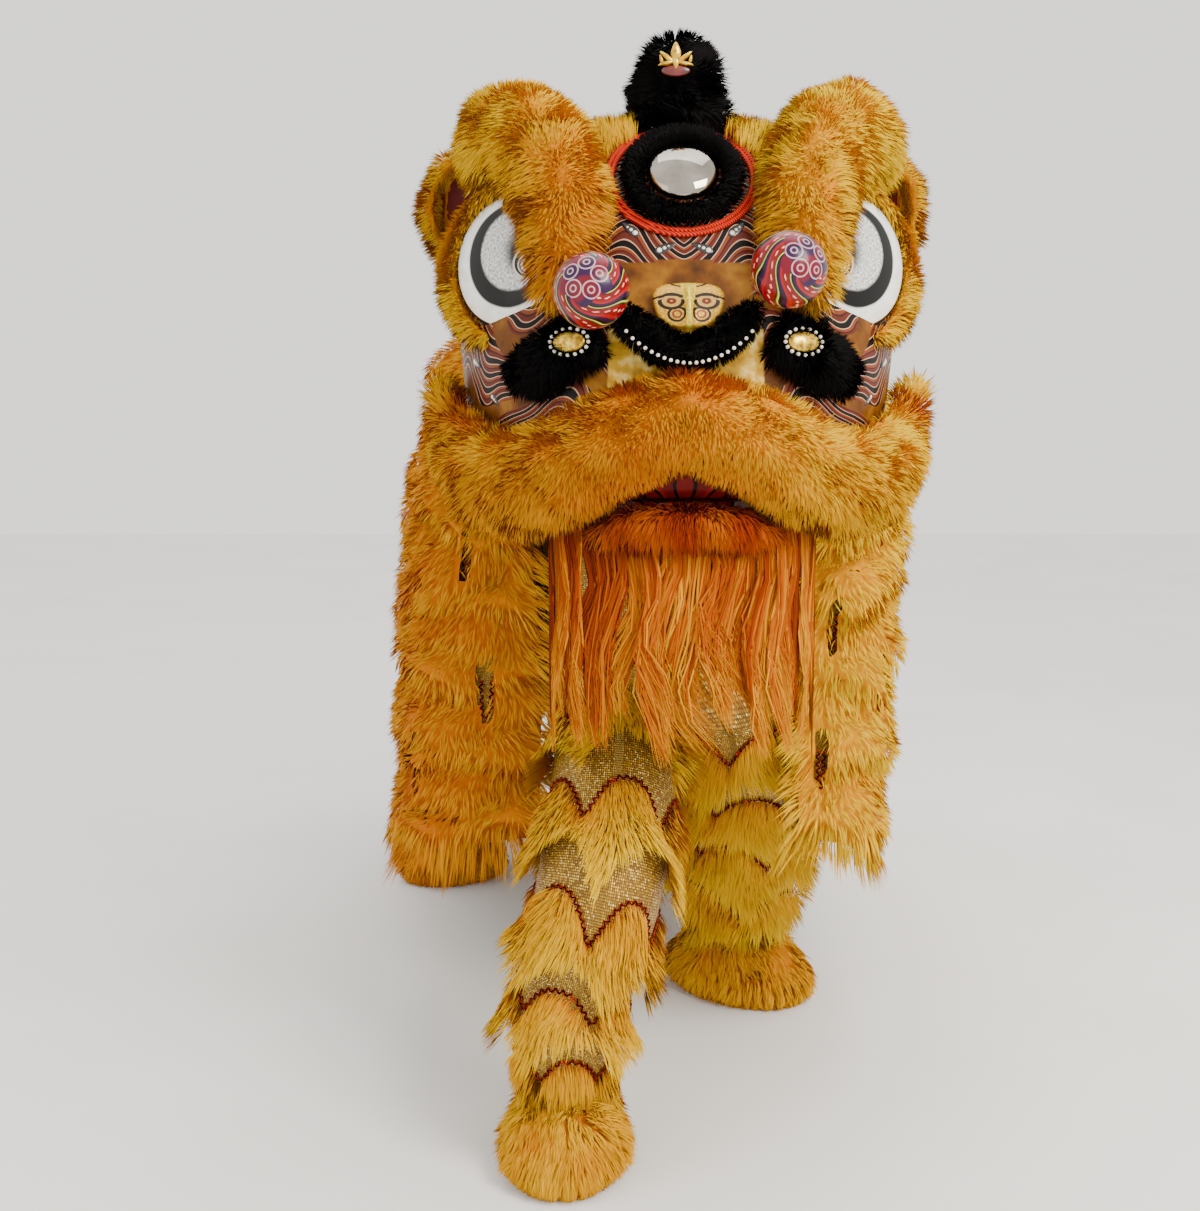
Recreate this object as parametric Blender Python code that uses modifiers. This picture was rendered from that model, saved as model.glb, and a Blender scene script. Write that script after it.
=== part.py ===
"""Lion dance costume for two dancers, in the form that it has when it is worn.

A papier-mache lion head with fur brows, eyes, ears, horn, mirror, nose, lip and hinged jaw; a
fur cape over both dancers; and two pairs of fur trousers with foot covers. Metres, +Z up. The
lion looks along -Y. The origin is where the front dancer carries the head, so the ground that
the dancers stand on is CARRY_HEIGHT below it. The lion's own right side is at -X.
"""

import math
from collections import namedtuple

import bmesh
import bpy
import numpy as np
from mathutils import Matrix, Vector

# Fits
GAP = 0.0004
CARRY_HEIGHT = 1.20

# Head shell: reach from the carrying point to each side
HEAD_HALF = 0.325
MUZZLE_REACH = 0.385
HEAD_BACK = 0.27
CROWN = 0.33
RIM_DROP = 0.20
SHELL_WALL = 0.004
SHELL_SQUARENESS = 2.6
SHELL_COLUMNS = 24

# Fur and cloth
CLOTH = 0.003
CAPE_FUR = 0.040
LEG_FUR = 0.030
FRONT_EDGE_FUR = 0.15
TUFT = 0.07

# Face pieces
BROW_ROLL = 0.085
EYE_RADIUS = 0.098
EYE_BULGE = 0.030
EYE_TRIM_ROLL = 0.023
LIP_ROLL = 0.088
MIRROR_RADIUS = 0.045
MIRROR_FUR_ROLL = 0.024
MIRROR_PIPING = 0.007
NOSE_ROLL = 0.036
WING_ROLL = 0.055
BALL_RADIUS = 0.049
POST_RADIUS = 0.006
HORN_RADIUS = 0.062
EAR_HALF_HEIGHT = 0.084
EAR_HALF_WIDTH = 0.060
EAR_HALF_DEPTH = 0.034
EAR_WALL = 0.012
EAR_PIN_RADIUS = 0.008
EAR_PLAY = 0.010

# Jaw, hung on a rod across the shell
JAW_BEHIND = 0.060
JAW_ROD_DROP = 0.178
JAW_ROD_RADIUS = 0.006
JAW_SLEEVE = 0.012
JAW_HALF = 0.115
JAW_BOARD = 0.012
JAW_FUR_ROLL = 0.026
JAW_PLAY = 0.003
BEARD_LENGTH = 0.29
BEARD_HALF = 0.185
BEARD_LOCKS = 12
BEARD_THICKNESS = 0.010
TONGUE_HALF = 0.048
TONGUE_LENGTH = 0.17

# Cape over both dancers
BODY_LENGTH = 1.74
BODY_HALF = 0.385
SWING = 0.035
HEM_HEIGHT = 0.28
CAPE_COLUMNS = 40
CAPE_BANDS = 5

# Trousers and foot covers
WAIST_DROP = 0.25
CROTCH_DROP = 0.50
HIP_HALF = 0.172
LEG_RADIUS = 0.084
LEG_COLUMNS = 12
LEG_BANDS = 4
FOOT_HALF_LENGTH = 0.112
FOOT_HALF_WIDTH = 0.080
FOOT_HEIGHT = 0.105
FOOT_WALL = 0.008

SIDES = {"right": -1, "left": 1}
GROUND = -CARRY_HEIGHT

for old in list(bpy.data.objects):
    bpy.data.objects.remove(old)
costume = bpy.data.collections.new("lion_dance_costume")
bpy.context.scene.collection.children.link(costume)
cutters = bpy.data.collections.new("cutters")
bpy.context.scene.collection.children.link(cutters)
cutters.hide_render = True


def paint(name, colour, roughness, metallic=0.0):
    """A material of one linear colour."""
    made = bpy.data.materials.new(name)
    made.use_nodes = True
    shader = made.node_tree.nodes["Principled BSDF"]
    shader.inputs["Base Color"].default_value = (*colour, 1)
    shader.inputs["Roughness"].default_value = roughness
    shader.inputs["Metallic"].default_value = metallic
    return made


yellow_fur = paint("yellow_fur", (0.90, 0.50, 0.01), 0.9)
orange_fur = paint("orange_fur", (0.80, 0.20, 0.01), 0.8)
black_fur = paint("black_fur", (0.008, 0.007, 0.007), 0.9)
gold_shell = paint("gold_shell", (0.45, 0.24, 0.04), 0.35, 0.6)
gold_foil = paint("gold_foil", (0.75, 0.50, 0.12), 0.3, 0.8)
white_lacquer = paint("white_lacquer", (0.75, 0.74, 0.70), 0.25)
mirror_glass = paint("mirror_glass", (0.85, 0.85, 0.85), 0.03, 1.0)
red_braid = paint("red_braid", (0.70, 0.06, 0.02), 0.5)
red_lacquer = paint("red_lacquer", (0.35, 0.01, 0.03), 0.25)
red_cloth = paint("red_cloth", (0.12, 0.005, 0.008), 0.8)
plain_wood = paint("plain_wood", (0.40, 0.26, 0.13), 0.6)
gold_cloth = paint("gold_cloth", (0.45, 0.28, 0.05), 0.45, 0.3)


def place(name, mesh, material):
    """Puts a mesh in the costume as one named piece, in triangles that its cutter shares."""
    bm = bmesh.new()
    bm.from_mesh(mesh)
    bmesh.ops.triangulate(bm, faces=bm.faces)
    bm.to_mesh(mesh)
    bm.free()
    piece = bpy.data.objects.new(name, mesh)
    piece.data.materials.clear()
    piece.data.materials.append(material)
    costume.objects.link(piece)
    return piece


def from_points(name, points, faces, material):
    mesh = bpy.data.meshes.new(name)
    mesh.from_pydata([tuple(map(float, p)) for p in points], [], faces)
    mesh.validate()
    return place(name, mesh, material)


def settle(piece):
    """Replaces a piece's mesh by what its modifiers make of it, at its place in the world."""
    bpy.context.view_layer.update()
    graph = bpy.context.evaluated_depsgraph_get()
    mesh = bpy.data.meshes.new_from_object(piece.evaluated_get(graph))
    mesh.transform(piece.matrix_world)
    piece.modifiers.clear()
    piece.data = mesh
    piece.matrix_world = Matrix.Identity(4)
    return piece


def largest_body(piece):
    """Drops the offcuts that a cut leaves, and keeps the one large body."""
    bm = bmesh.new()
    bm.from_mesh(piece.data)
    bmesh.ops.remove_doubles(bm, verts=bm.verts, dist=0.00002)
    left = set(bm.verts)
    bodies = []
    while left:
        body = {left.pop()}
        edge = list(body)
        while edge:
            near = {e.other_vert(v) for v in edge for e in v.link_edges} & left
            left -= near
            body |= near
            edge = list(near)
        bodies.append(body)
    keep = max(bodies, key=len)
    bmesh.ops.delete(bm, geom=[v for v in bm.verts if v not in keep], context="VERTS")
    bm.to_mesh(piece.data)
    bm.free()
    return piece


full_forms = {}


def grown(piece, by):
    """A copy of a piece's form before any cut, moved out by a clearance, for cutting a seat."""
    form = full_forms.setdefault(piece.name, piece.data.copy())
    copy = bpy.data.objects.new("cutter_" + piece.name, form.copy())
    copy.hide_render = True
    copy.display_type = "WIRE"
    cutters.objects.link(copy)
    bm = bmesh.new()
    bm.from_mesh(copy.data)
    bm.normal_update()
    for vertex in bm.verts:
        vertex.co += vertex.normal * by * vertex.calc_shell_factor()
    bm.to_mesh(copy.data)
    bm.free()
    return copy


def combine(piece, other, operation):
    modifier = piece.modifiers.new(operation.lower(), "BOOLEAN")
    modifier.operation = operation
    modifier.object = other
    settle(piece)
    bpy.data.objects.remove(other)
    return piece


def seat(piece, *carriers, gap=GAP):
    """Cuts a piece back so that it rests on its carriers with a gap between them."""
    full_forms.setdefault(piece.name, piece.data.copy())
    for carrier in carriers:
        combine(piece, grown(carrier, gap), "DIFFERENCE")
    return largest_body(piece)


def ring_faces(rows, columns, closed=True):
    """Quads between the rows of a grid, round each ring if it is closed."""
    last = columns if closed else columns - 1
    return [
        (
            r * columns + c,
            r * columns + (c + 1) % columns,
            (r + 1) * columns + (c + 1) % columns,
            (r + 1) * columns + c,
        )
        for r in range(rows - 1)
        for c in range(last)
    ]


def recalculate(piece):
    """Merges doubled points and turns every face outwards."""
    bm = bmesh.new()
    bm.from_mesh(piece.data)
    bmesh.ops.remove_doubles(bm, verts=bm.verts, dist=0.00002)
    bmesh.ops.recalc_face_normals(bm, faces=bm.faces)
    bm.to_mesh(piece.data)
    bm.free()
    return piece


def loft(name, rings, material):
    """A closed solid through rings of equal count, with flat ends."""
    rows, columns = len(rings), len(rings[0])
    faces = ring_faces(rows, columns)
    faces.append(tuple(range(columns)))
    faces.append(tuple((rows - 1) * columns + c for c in range(columns)))
    return recalculate(from_points(name, np.concatenate(rings), faces, material))


def smooth_rows(table, count):
    """Catmull-Rom interpolation of a table's rows, evenly spaced in row number."""
    rows = np.array(table, float)
    rows = np.vstack([2 * rows[0] - rows[1], rows, 2 * rows[-1] - rows[-2]])
    out = []
    for t in np.linspace(0, len(table) - 1, count):
        i = min(int(t), len(table) - 2)
        f = t - i
        a, b, c, d = rows[i : i + 4]
        curve = 2 * b + (c - a) * f + (2 * a - 5 * b + 4 * c - d) * f**2
        out.append(0.5 * (curve + (3 * b - a - 3 * c + d) * f**3))
    return np.array(out)


def path_frames(path):
    """For each point of a path, two axes across it, carried along without twist."""
    tangents = np.gradient(path, axis=0)
    tangents /= np.linalg.norm(tangents, axis=1)[:, None]
    across = np.cross(tangents[0], (0.0, 0.3, 1.0))
    frames = []
    for tangent in tangents:
        across = across - tangent * (across @ tangent)
        across /= np.linalg.norm(across)
        frames.append((across, np.cross(tangent, across)))
    return frames


def roll(name, stations, count, sides, material, tuft=TUFT):
    """A fur roll: round sections along a path of (x, y, z, radius), its fur in raised tufts."""
    rows = smooth_rows(stations, count)
    rings = []
    for i, (row, (a, b)) in enumerate(zip(rows, path_frames(rows[:, :3]))):
        turns = 2 * math.pi * np.arange(sides) / sides
        lift = 1 + tuft * np.where((np.arange(sides) + i) % 2, 1, -1)
        radius = (row[3] * lift)[:, None]
        rings.append(row[:3] + radius * (np.cos(turns)[:, None] * a + np.sin(turns)[:, None] * b))
    return loft(name, rings, material)


def ball(name, centre, radii, material, turn=None, segments=14, tuft=0.0):
    """An ellipsoid, turned by a matrix, whose points may be raised in turn as tufts."""
    bm = bmesh.new()
    bmesh.ops.create_uvsphere(bm, u_segments=segments, v_segments=segments // 2 + 1, radius=1)
    for number, vertex in enumerate(bm.verts):
        vertex.co *= 1 + tuft * (1 if number % 2 else -1)
        vertex.co = Vector([c * r for c, r in zip(vertex.co, radii)])
    mesh = bpy.data.meshes.new(name)
    bm.to_mesh(mesh)
    bm.free()
    place_at = Matrix.Translation(centre) @ (turn or Matrix.Identity(4))
    mesh.transform(place_at)
    return place(name, mesh, material)


def torus(name, centre, turn, major, minor, material, segments=22, sides=8, tuft=0.0):
    """A ring round the local Z axis, whose section may be raised in turn as tufts."""
    rings = []
    for i in range(segments):
        angle = 2 * math.pi * i / segments
        out = np.array((math.cos(angle), math.sin(angle), 0))
        turns = 2 * math.pi * np.arange(sides) / sides
        radius = minor * (1 + tuft * np.where((np.arange(sides) + i) % 2, 1, -1))
        across = np.outer(major + radius * np.cos(turns), out)
        across[:, 2] = radius * np.sin(turns)
        rings.append(across)
    points = np.concatenate(rings)
    columns = sides
    faces = ring_faces(segments, columns)
    last = (segments - 1) * columns
    for c in range(columns):
        n = (c + 1) % columns
        faces.append((last + c, last + n, n, c))
    piece = from_points(name, points, faces, material)
    piece.data.transform(Matrix.Translation(centre) @ turn)
    return recalculate(piece)


def cylinder(name, start, end, radius, material, sides=12):
    """A round bar from one point to another."""
    start, end = Vector(start), Vector(end)
    bm = bmesh.new()
    bmesh.ops.create_cone(
        bm, cap_ends=True, segments=sides, radius1=radius, radius2=radius, depth=(end - start).length
    )
    mesh = bpy.data.meshes.new(name)
    bm.to_mesh(mesh)
    bm.free()
    turn = (end - start).to_track_quat("Z", "Y").to_matrix().to_4x4()
    mesh.transform(Matrix.Translation((start + end) / 2) @ turn)
    return place(name, mesh, material)


# The head shell, in level sections. Below the carrying point a section's height is a share of
# RIM_DROP, and above it of CROWN; width, front and back are shares of the shell's reaches.
ShellRow = namedtuple("ShellRow", "height width front back")
SHELL_ROWS = [
    ShellRow(-1.00, 0.90, 0.975, 0.86),
    ShellRow(-0.45, 0.97, 1.000, 0.95),
    ShellRow(0.00, 1.00, 0.975, 1.00),
    ShellRow(0.16, 1.00, 0.900, 1.00),
    ShellRow(0.32, 1.00, 0.820, 0.99),
    ShellRow(0.52, 0.94, 0.740, 0.95),
    ShellRow(0.74, 0.78, 0.610, 0.84),
    ShellRow(0.90, 0.54, 0.420, 0.62),
    ShellRow(0.98, 0.26, 0.200, 0.32),
]


def shell_height(row):
    return row.height * (CROWN if row.height > 0 else RIM_DROP)


def shell_section(z):
    """(half width, front, back) of the shell at a height, straight between its rows."""
    heights = [shell_height(row) for row in SHELL_ROWS]
    return (
        np.interp(z, heights, [row.width for row in SHELL_ROWS]) * HEAD_HALF,
        np.interp(z, heights, [row.front for row in SHELL_ROWS]) * MUZZLE_REACH,
        np.interp(z, heights, [row.back for row in SHELL_ROWS]) * HEAD_BACK,
    )


def outside_shell(point, margin):
    """The point itself if it is outside the shell, or else the nearest place over its wall."""
    half, front, back = shell_section(point[2])
    deep = back if point[1] > 0 else front
    c = math.copysign(abs(point[0] / half) ** (SHELL_SQUARENESS / 2), point[0])
    s = math.copysign(abs(point[1] / deep) ** (SHELL_SQUARENESS / 2), point[1])
    if c**2 + s**2 > (1 + margin / half) ** SHELL_SQUARENESS:
        return point
    place_on, out = shell_outside(math.atan2(s, c), point[2])
    return np.array(place_on + out * margin)


def shell_point(angle, z):
    """The shell's outer surface at a height. Angle 0 is +X, and 90 degrees the back."""
    half, front, back = shell_section(z)
    c, s = math.cos(angle), math.sin(angle)
    power = 2 / SHELL_SQUARENESS
    deep = back if s > 0 else front
    return np.array(
        (
            half * math.copysign(abs(c) ** power, c),
            deep * math.copysign(abs(s) ** power, s),
            z,
        )
    )


def shell_outside(angle, z):
    """A point of the shell and the direction that faces out of it there."""
    step = 0.01
    here = shell_point(angle, z)
    round_it = shell_point(angle + step, z) - shell_point(angle - step, z)
    up_it = shell_point(angle, z + step) - shell_point(angle, z - step)
    out = np.cross(round_it, up_it)
    return Vector(here), Vector(out).normalized()


def facing(out, up=(0, 0, 1)):
    """A turn whose local Z axis faces out and whose local Y axis leans up."""
    z = Vector(out).normalized()
    x = Vector(up).cross(z).normalized()
    turn = Matrix((x, z.cross(x), z)).transposed()
    return turn.to_4x4()


def shell_grid():
    rings = []
    for row in SHELL_ROWS:
        z = shell_height(row)
        turns = 2 * math.pi * np.arange(SHELL_COLUMNS) / SHELL_COLUMNS
        rings.append(np.array([shell_point(t, z) for t in turns]))
    return rings


rings = shell_grid()
top = len(SHELL_ROWS) * SHELL_COLUMNS
shell_faces = ring_faces(len(SHELL_ROWS), SHELL_COLUMNS)
ring_start = top - SHELL_COLUMNS
for c in range(SHELL_COLUMNS):
    shell_faces.append((ring_start + c, ring_start + (c + 1) % SHELL_COLUMNS, top))
shell_points = np.vstack([np.concatenate(rings), [(0.0, 0.0, CROWN)]])
head_shell = recalculate(from_points("head_shell", shell_points, shell_faces, gold_shell))
core_faces = [*shell_faces, tuple(range(SHELL_COLUMNS))]
core = recalculate(from_points("core", shell_points, core_faces, gold_shell))
core.hide_render = True
core.display_type = "WIRE"
costume.objects.unlink(core)
cutters.objects.link(core)
wall = head_shell.modifiers.new("wall", "SOLIDIFY")
wall.thickness = SHELL_WALL
wall.offset = -1
settle(head_shell)

# A share table for face rolls: across of HEAD_HALF, ahead of MUZZLE_REACH, up of CROWN, and
# radius of the roll's own size.
FaceRow = namedtuple("FaceRow", "across ahead up radius")


def face_path(rows, side, size):
    return [
        (
            side * row.across * HEAD_HALF,
            -row.ahead * MUZZLE_REACH,
            row.up * CROWN,
            row.radius * size,
        )
        for row in rows
    ]


# Upper lip: one thick fur roll from cheek to cheek, its ends drawn out to points
LIP_ROWS = [
    FaceRow(1.12, 0.33, -0.12, 0.15),
    FaceRow(1.04, 0.37, -0.24, 0.42),
    FaceRow(0.93, 0.46, -0.39, 0.78),
    FaceRow(0.80, 0.64, -0.53, 0.96),
    FaceRow(0.58, 0.86, -0.54, 0.93),
    FaceRow(0.32, 1.02, -0.40, 0.90),
    FaceRow(0.00, 1.08, -0.285, 0.84),
]
lip_path = face_path(LIP_ROWS, -1, LIP_ROLL) + face_path(LIP_ROWS[-2::-1], 1, LIP_ROLL)
lip_roll = roll("lip_roll", lip_path, 17, 12, yellow_fur)
seat(lip_roll, core)

# Mirror on the forehead, in a ring of black fur with a braid round it
mirror_height = 0.70 * CROWN
mirror_seat, mirror_out = shell_outside(-math.pi / 2, mirror_height)
mirror_turn = facing(mirror_out)
mirror = ball(
    "mirror",
    mirror_seat + mirror_out * 0.45 * MIRROR_FUR_ROLL,
    (MIRROR_RADIUS, MIRROR_RADIUS, 0.4 * MIRROR_RADIUS),
    mirror_glass,
    mirror_turn,
    16,
)
seat(mirror, core)
mirror_fur = torus(
    "mirror_fur",
    mirror_seat + mirror_out * 0.4 * MIRROR_FUR_ROLL,
    mirror_turn,
    MIRROR_RADIUS + 0.9 * MIRROR_FUR_ROLL,
    MIRROR_FUR_ROLL,
    black_fur,
    14,
    6,
    TUFT,
)
seat(mirror_fur, core, mirror)
mirror_braid = torus(
    "mirror_braid",
    mirror_seat - mirror_out * 0.004,
    mirror_turn,
    MIRROR_RADIUS + 2.2 * MIRROR_FUR_ROLL,
    MIRROR_PIPING * 1.6,
    red_braid,
    16,
    4,
)
seat(mirror_braid, core, mirror_fur)

# Horn: an upright knob of black fur on the crown, with a collar at its foot and a foil leaf
horn_foot = Vector((0, -0.36 * HEAD_HALF, 0.90 * CROWN))
horn = ball(
    "horn",
    horn_foot + Vector((0, 0, 1.42 * HORN_RADIUS)),
    (0.93 * HORN_RADIUS, 0.95 * HORN_RADIUS, 1.12 * HORN_RADIUS),
    black_fur,
    segments=12,
    tuft=TUFT,
)
collar = ball(
    "horn_collar",
    horn_foot + Vector((0, 0, 0.55 * HORN_RADIUS)),
    (1.33 * HORN_RADIUS, 1.0 * HORN_RADIUS, 0.62 * HORN_RADIUS),
    black_fur,
    segments=12,
    tuft=TUFT,
)
combine(horn, collar, "UNION")
seat(horn, core, mirror_fur, mirror_braid)

horn_leaf = ball(
    "horn_leaf",
    horn_foot + Vector((0, -0.86 * HORN_RADIUS, 1.85 * HORN_RADIUS)),
    (0.42 * HORN_RADIUS, 0.16 * HORN_RADIUS, 0.36 * HORN_RADIUS),
    gold_foil,
    segments=10,
)
seat(horn_leaf, horn)

# Nose: black fur in a shallow V under a foil leaf, with a wing of black fur on each cheek
NOSE_ROWS = [
    FaceRow(0.31, 0.93, 0.19, 0.55),
    FaceRow(0.24, 0.99, 0.11, 0.95),
    FaceRow(0.12, 1.03, 0.02, 1.00),
    FaceRow(0.00, 1.06, -0.05, 1.05),
]
nose_path = face_path(NOSE_ROWS, -1, NOSE_ROLL) + face_path(NOSE_ROWS[-2::-1], 1, NOSE_ROLL)
nose_fur = roll("nose_fur", nose_path, 11, 10, black_fur)
seat(nose_fur, core, lip_roll)

nose_seat, nose_out = shell_outside(-math.pi / 2, 0.14 * CROWN)
nose_leaf = ball(
    "nose_leaf",
    nose_seat + nose_out * 0.004,
    (0.13 * HEAD_HALF, 0.12 * HEAD_HALF, 0.022),
    gold_foil,
    facing(nose_out),
    12,
)
seat(nose_leaf, core, nose_fur)

WING_ROWS = [
    FaceRow(0.33, 0.93, 0.06, 0.72),
    FaceRow(0.45, 0.88, -0.02, 0.98),
    FaceRow(0.57, 0.81, -0.08, 1.00),
    FaceRow(0.67, 0.72, -0.13, 0.78),
]
EYE_ACROSS = 0.73
EYE_UP = 0.36
EYE_TURN = math.radians(36)
EYE_DEPTH = 0.085

for side_name, side in SIDES.items():
    wing = roll(f"cheek_fur_{side_name}", face_path(WING_ROWS, side, WING_ROLL), 7, 10, black_fur)
    seat(wing, core, lip_roll, nose_fur)
    button_row = WING_ROWS[1]
    button_at = Vector(face_path([button_row], side, 1)[0][:3])
    button_out = Vector((side * 0.35, -0.85, 0.25)).normalized()
    button = ball(
        f"cheek_button_{side_name}",
        button_at + button_out * 0.93 * WING_ROLL,
        (0.024, 0.018, 0.007),
        gold_foil,
        facing(button_out),
        12,
    )
    seat(button, wing)

    # Eye: a domed lacquered disc on a deep socket, set in a fur ring
    eye_share = 1 - EYE_ACROSS**SHELL_SQUARENESS
    eye_seat = Vector(
        (
            side * EYE_ACROSS * shell_section(EYE_UP * CROWN)[0],
            -shell_section(EYE_UP * CROWN)[1] * eye_share ** (1 / SHELL_SQUARENESS),
            EYE_UP * CROWN,
        )
    )
    eye_out = Vector((side * math.sin(EYE_TURN), -math.cos(EYE_TURN), 0.14)).normalized()
    eye_turn = facing(eye_out)
    eye = ball(
        f"eye_{side_name}",
        (0, 0, 0),
        (EYE_RADIUS, EYE_RADIUS, EYE_BULGE),
        white_lacquer,
        segments=16,
    )
    for vertex in eye.data.vertices:
        if vertex.co.z < 0:
            vertex.co.z *= EYE_DEPTH / EYE_BULGE
    eye.data.transform(Matrix.Translation(eye_seat) @ eye_turn)
    seat(eye, core)
    eye_fur = torus(
        f"eye_fur_{side_name}",
        eye_seat - eye_out * 0.2 * EYE_TRIM_ROLL,
        eye_turn,
        EYE_RADIUS + 0.55 * EYE_TRIM_ROLL,
        EYE_TRIM_ROLL,
        yellow_fur,
        16,
        6,
        TUFT,
    )
    seat(eye_fur, core, eye, wing)

    # Brow: a fur roll from the temple over the crown and down beside the nose
    brow = roll(
        f"brow_{side_name}",
        face_path(
            [
                FaceRow(0.80, 0.12, 0.74, 0.55),
                FaceRow(0.77, 0.30, 0.91, 0.98),
                FaceRow(0.63, 0.54, 0.85, 0.97),
                FaceRow(0.53, 0.71, 0.66, 0.86),
                FaceRow(0.50, 0.82, 0.45, 0.72),
                FaceRow(0.53, 0.87, 0.27, 0.50),
                FaceRow(0.58, 0.87, 0.15, 0.15),
            ],
            side,
            BROW_ROLL,
        ),
        10,
        10,
        yellow_fur,
    )
    seat(brow, core, eye_fur, eye, mirror_fur, mirror_braid, horn, wing)

    # Ball on a post in front of the face
    ball_at = Vector((side * 0.125, -0.455, 0.083 + side * 0.013))
    post_end = ball_at + Vector((-side * 0.01, 0.16, 0.012))
    post = cylinder(f"ball_post_{side_name}", ball_at, post_end, POST_RADIUS, plain_wood, 8)
    pompon = ball(
        f"ball_{side_name}",
        ball_at,
        (BALL_RADIUS,) * 3,
        red_lacquer,
        segments=14,
    )
    seat(brow, post, pompon)
    seat(post, core, pompon)

    # Ear: a fur cup with a red lining, on a pin that turns in the shell
    ear_z = 0.66 * CROWN
    ear_y = 0.055
    shell_half = shell_section(ear_z)[0]
    ear_centre = Vector((side * (shell_half + 0.95 * EAR_HALF_WIDTH), ear_y, ear_z))
    ear = ball(
        f"ear_{side_name}",
        ear_centre,
        (EAR_HALF_WIDTH, EAR_HALF_DEPTH, EAR_HALF_HEIGHT),
        yellow_fur,
        segments=10,
        tuft=TUFT,
    )
    hollow_radii = (
        EAR_HALF_WIDTH - EAR_WALL,
        EAR_HALF_DEPTH,
        EAR_HALF_HEIGHT - EAR_WALL,
    )
    hollow_centre = ear_centre + Vector((0, -EAR_WALL * 1.6, 0))
    combine(ear, ball("hollow", hollow_centre, hollow_radii, red_cloth, segments=10), "DIFFERENCE")
    pin = cylinder(
        "pin",
        (side * (shell_half - 0.04), ear_y, ear_z),
        (side * (shell_half + EAR_PLAY + 0.02), ear_y, ear_z),
        EAR_PIN_RADIUS,
        plain_wood,
    )
    # The ear's root is cut clear of the shell, and its pin then reaches in through a hole
    combine(ear, grown(core, EAR_PLAY), "DIFFERENCE")
    largest_body(ear)
    combine(ear, pin, "UNION")
    hole = cylinder(
        "hole",
        (side * (shell_half - 0.06), ear_y, ear_z),
        (side * (shell_half + 0.02), ear_y, ear_z),
        EAR_PIN_RADIUS + GAP,
        plain_wood,
    )
    combine(head_shell, hole, "DIFFERENCE")

# Jaw: a board on a rod across the shell, with fur on its lip, the beard and the tongue
rod_y, rod_z = -JAW_BEHIND, -JAW_ROD_DROP
half, front, back = shell_section(rod_z)
rod_share = abs(rod_y) / front
rod_half = half * (1 - rod_share**SHELL_SQUARENESS) ** (1 / SHELL_SQUARENESS)
jaw_rod = cylinder(
    "jaw_rod",
    (-rod_half, rod_y, rod_z),
    (rod_half, rod_y, rod_z),
    JAW_ROD_RADIUS,
    plain_wood,
    10,
)
seat(jaw_rod, head_shell)
board_top = -RIM_DROP - 0.006
jaw_front = 1.02 * MUZZLE_REACH


def jaw_outline(z):
    """The board's outline: straight sides from the rod, and a rounded front."""
    back = rod_y + JAW_SLEEVE
    round_front = []
    for t in np.linspace(0, math.pi, 11):
        ahead = (jaw_front - JAW_BEHIND) * (0.45 + 0.55 * math.sin(t))
        round_front.append((JAW_HALF * math.cos(t), rod_y - ahead, z))
    return np.array([(JAW_HALF, back, z), *round_front, (-JAW_HALF, back, z)])


jaw_board = loft("jaw_board", [jaw_outline(board_top - JAW_BOARD), jaw_outline(board_top)], red_cloth)
sleeve = cylinder(
    "sleeve",
    (-JAW_HALF + 0.004, rod_y, rod_z),
    (JAW_HALF - 0.004, rod_y, rod_z),
    JAW_SLEEVE,
    red_cloth,
    14,
)
web_half = JAW_HALF - 0.008
web = loft(
    "web",
    [
        np.array([(-web_half, y, z), (web_half, y, z), (web_half, y + 0.012, z), (-web_half, y + 0.012, z)])
        for y, z in ((rod_y - 0.006, rod_z - 0.006), (rod_y - 0.006, board_top - 0.004))
    ],
    red_cloth,
)
combine(jaw_board, web, "UNION")
combine(jaw_board, sleeve, "UNION")
combine(jaw_board, grown(jaw_rod, GAP), "DIFFERENCE")

JAW_FUR_ROWS = [
    FaceRow(0.43, 0.66, -0.73, 0.55),
    FaceRow(0.37, 0.90, -0.72, 0.95),
    FaceRow(0.22, 1.03, -0.70, 1.00),
    FaceRow(0.00, 1.06, -0.69, 1.00),
]
jaw_path = face_path(JAW_FUR_ROWS, -1, JAW_FUR_ROLL) + face_path(JAW_FUR_ROWS[-2::-1], 1, JAW_FUR_ROLL)
jaw_fur = roll("jaw_fur", jaw_path, 13, 10, orange_fur)
seat(jaw_fur, jaw_board)
seat(jaw_fur, lip_roll, gap=JAW_PLAY)


def beard_point(across, down, behind=0.0):
    """A point of the beard: it hangs from the jaw's round lip, and draws in as it falls."""
    angle = across * math.radians(78)
    x = BEARD_HALF * math.sin(angle)
    y = -0.31 - (jaw_front + 0.005 - 0.31) * math.cos(angle) ** 1.5 + behind
    return np.array((x, y, -RIM_DROP - 0.052 - down))


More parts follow.
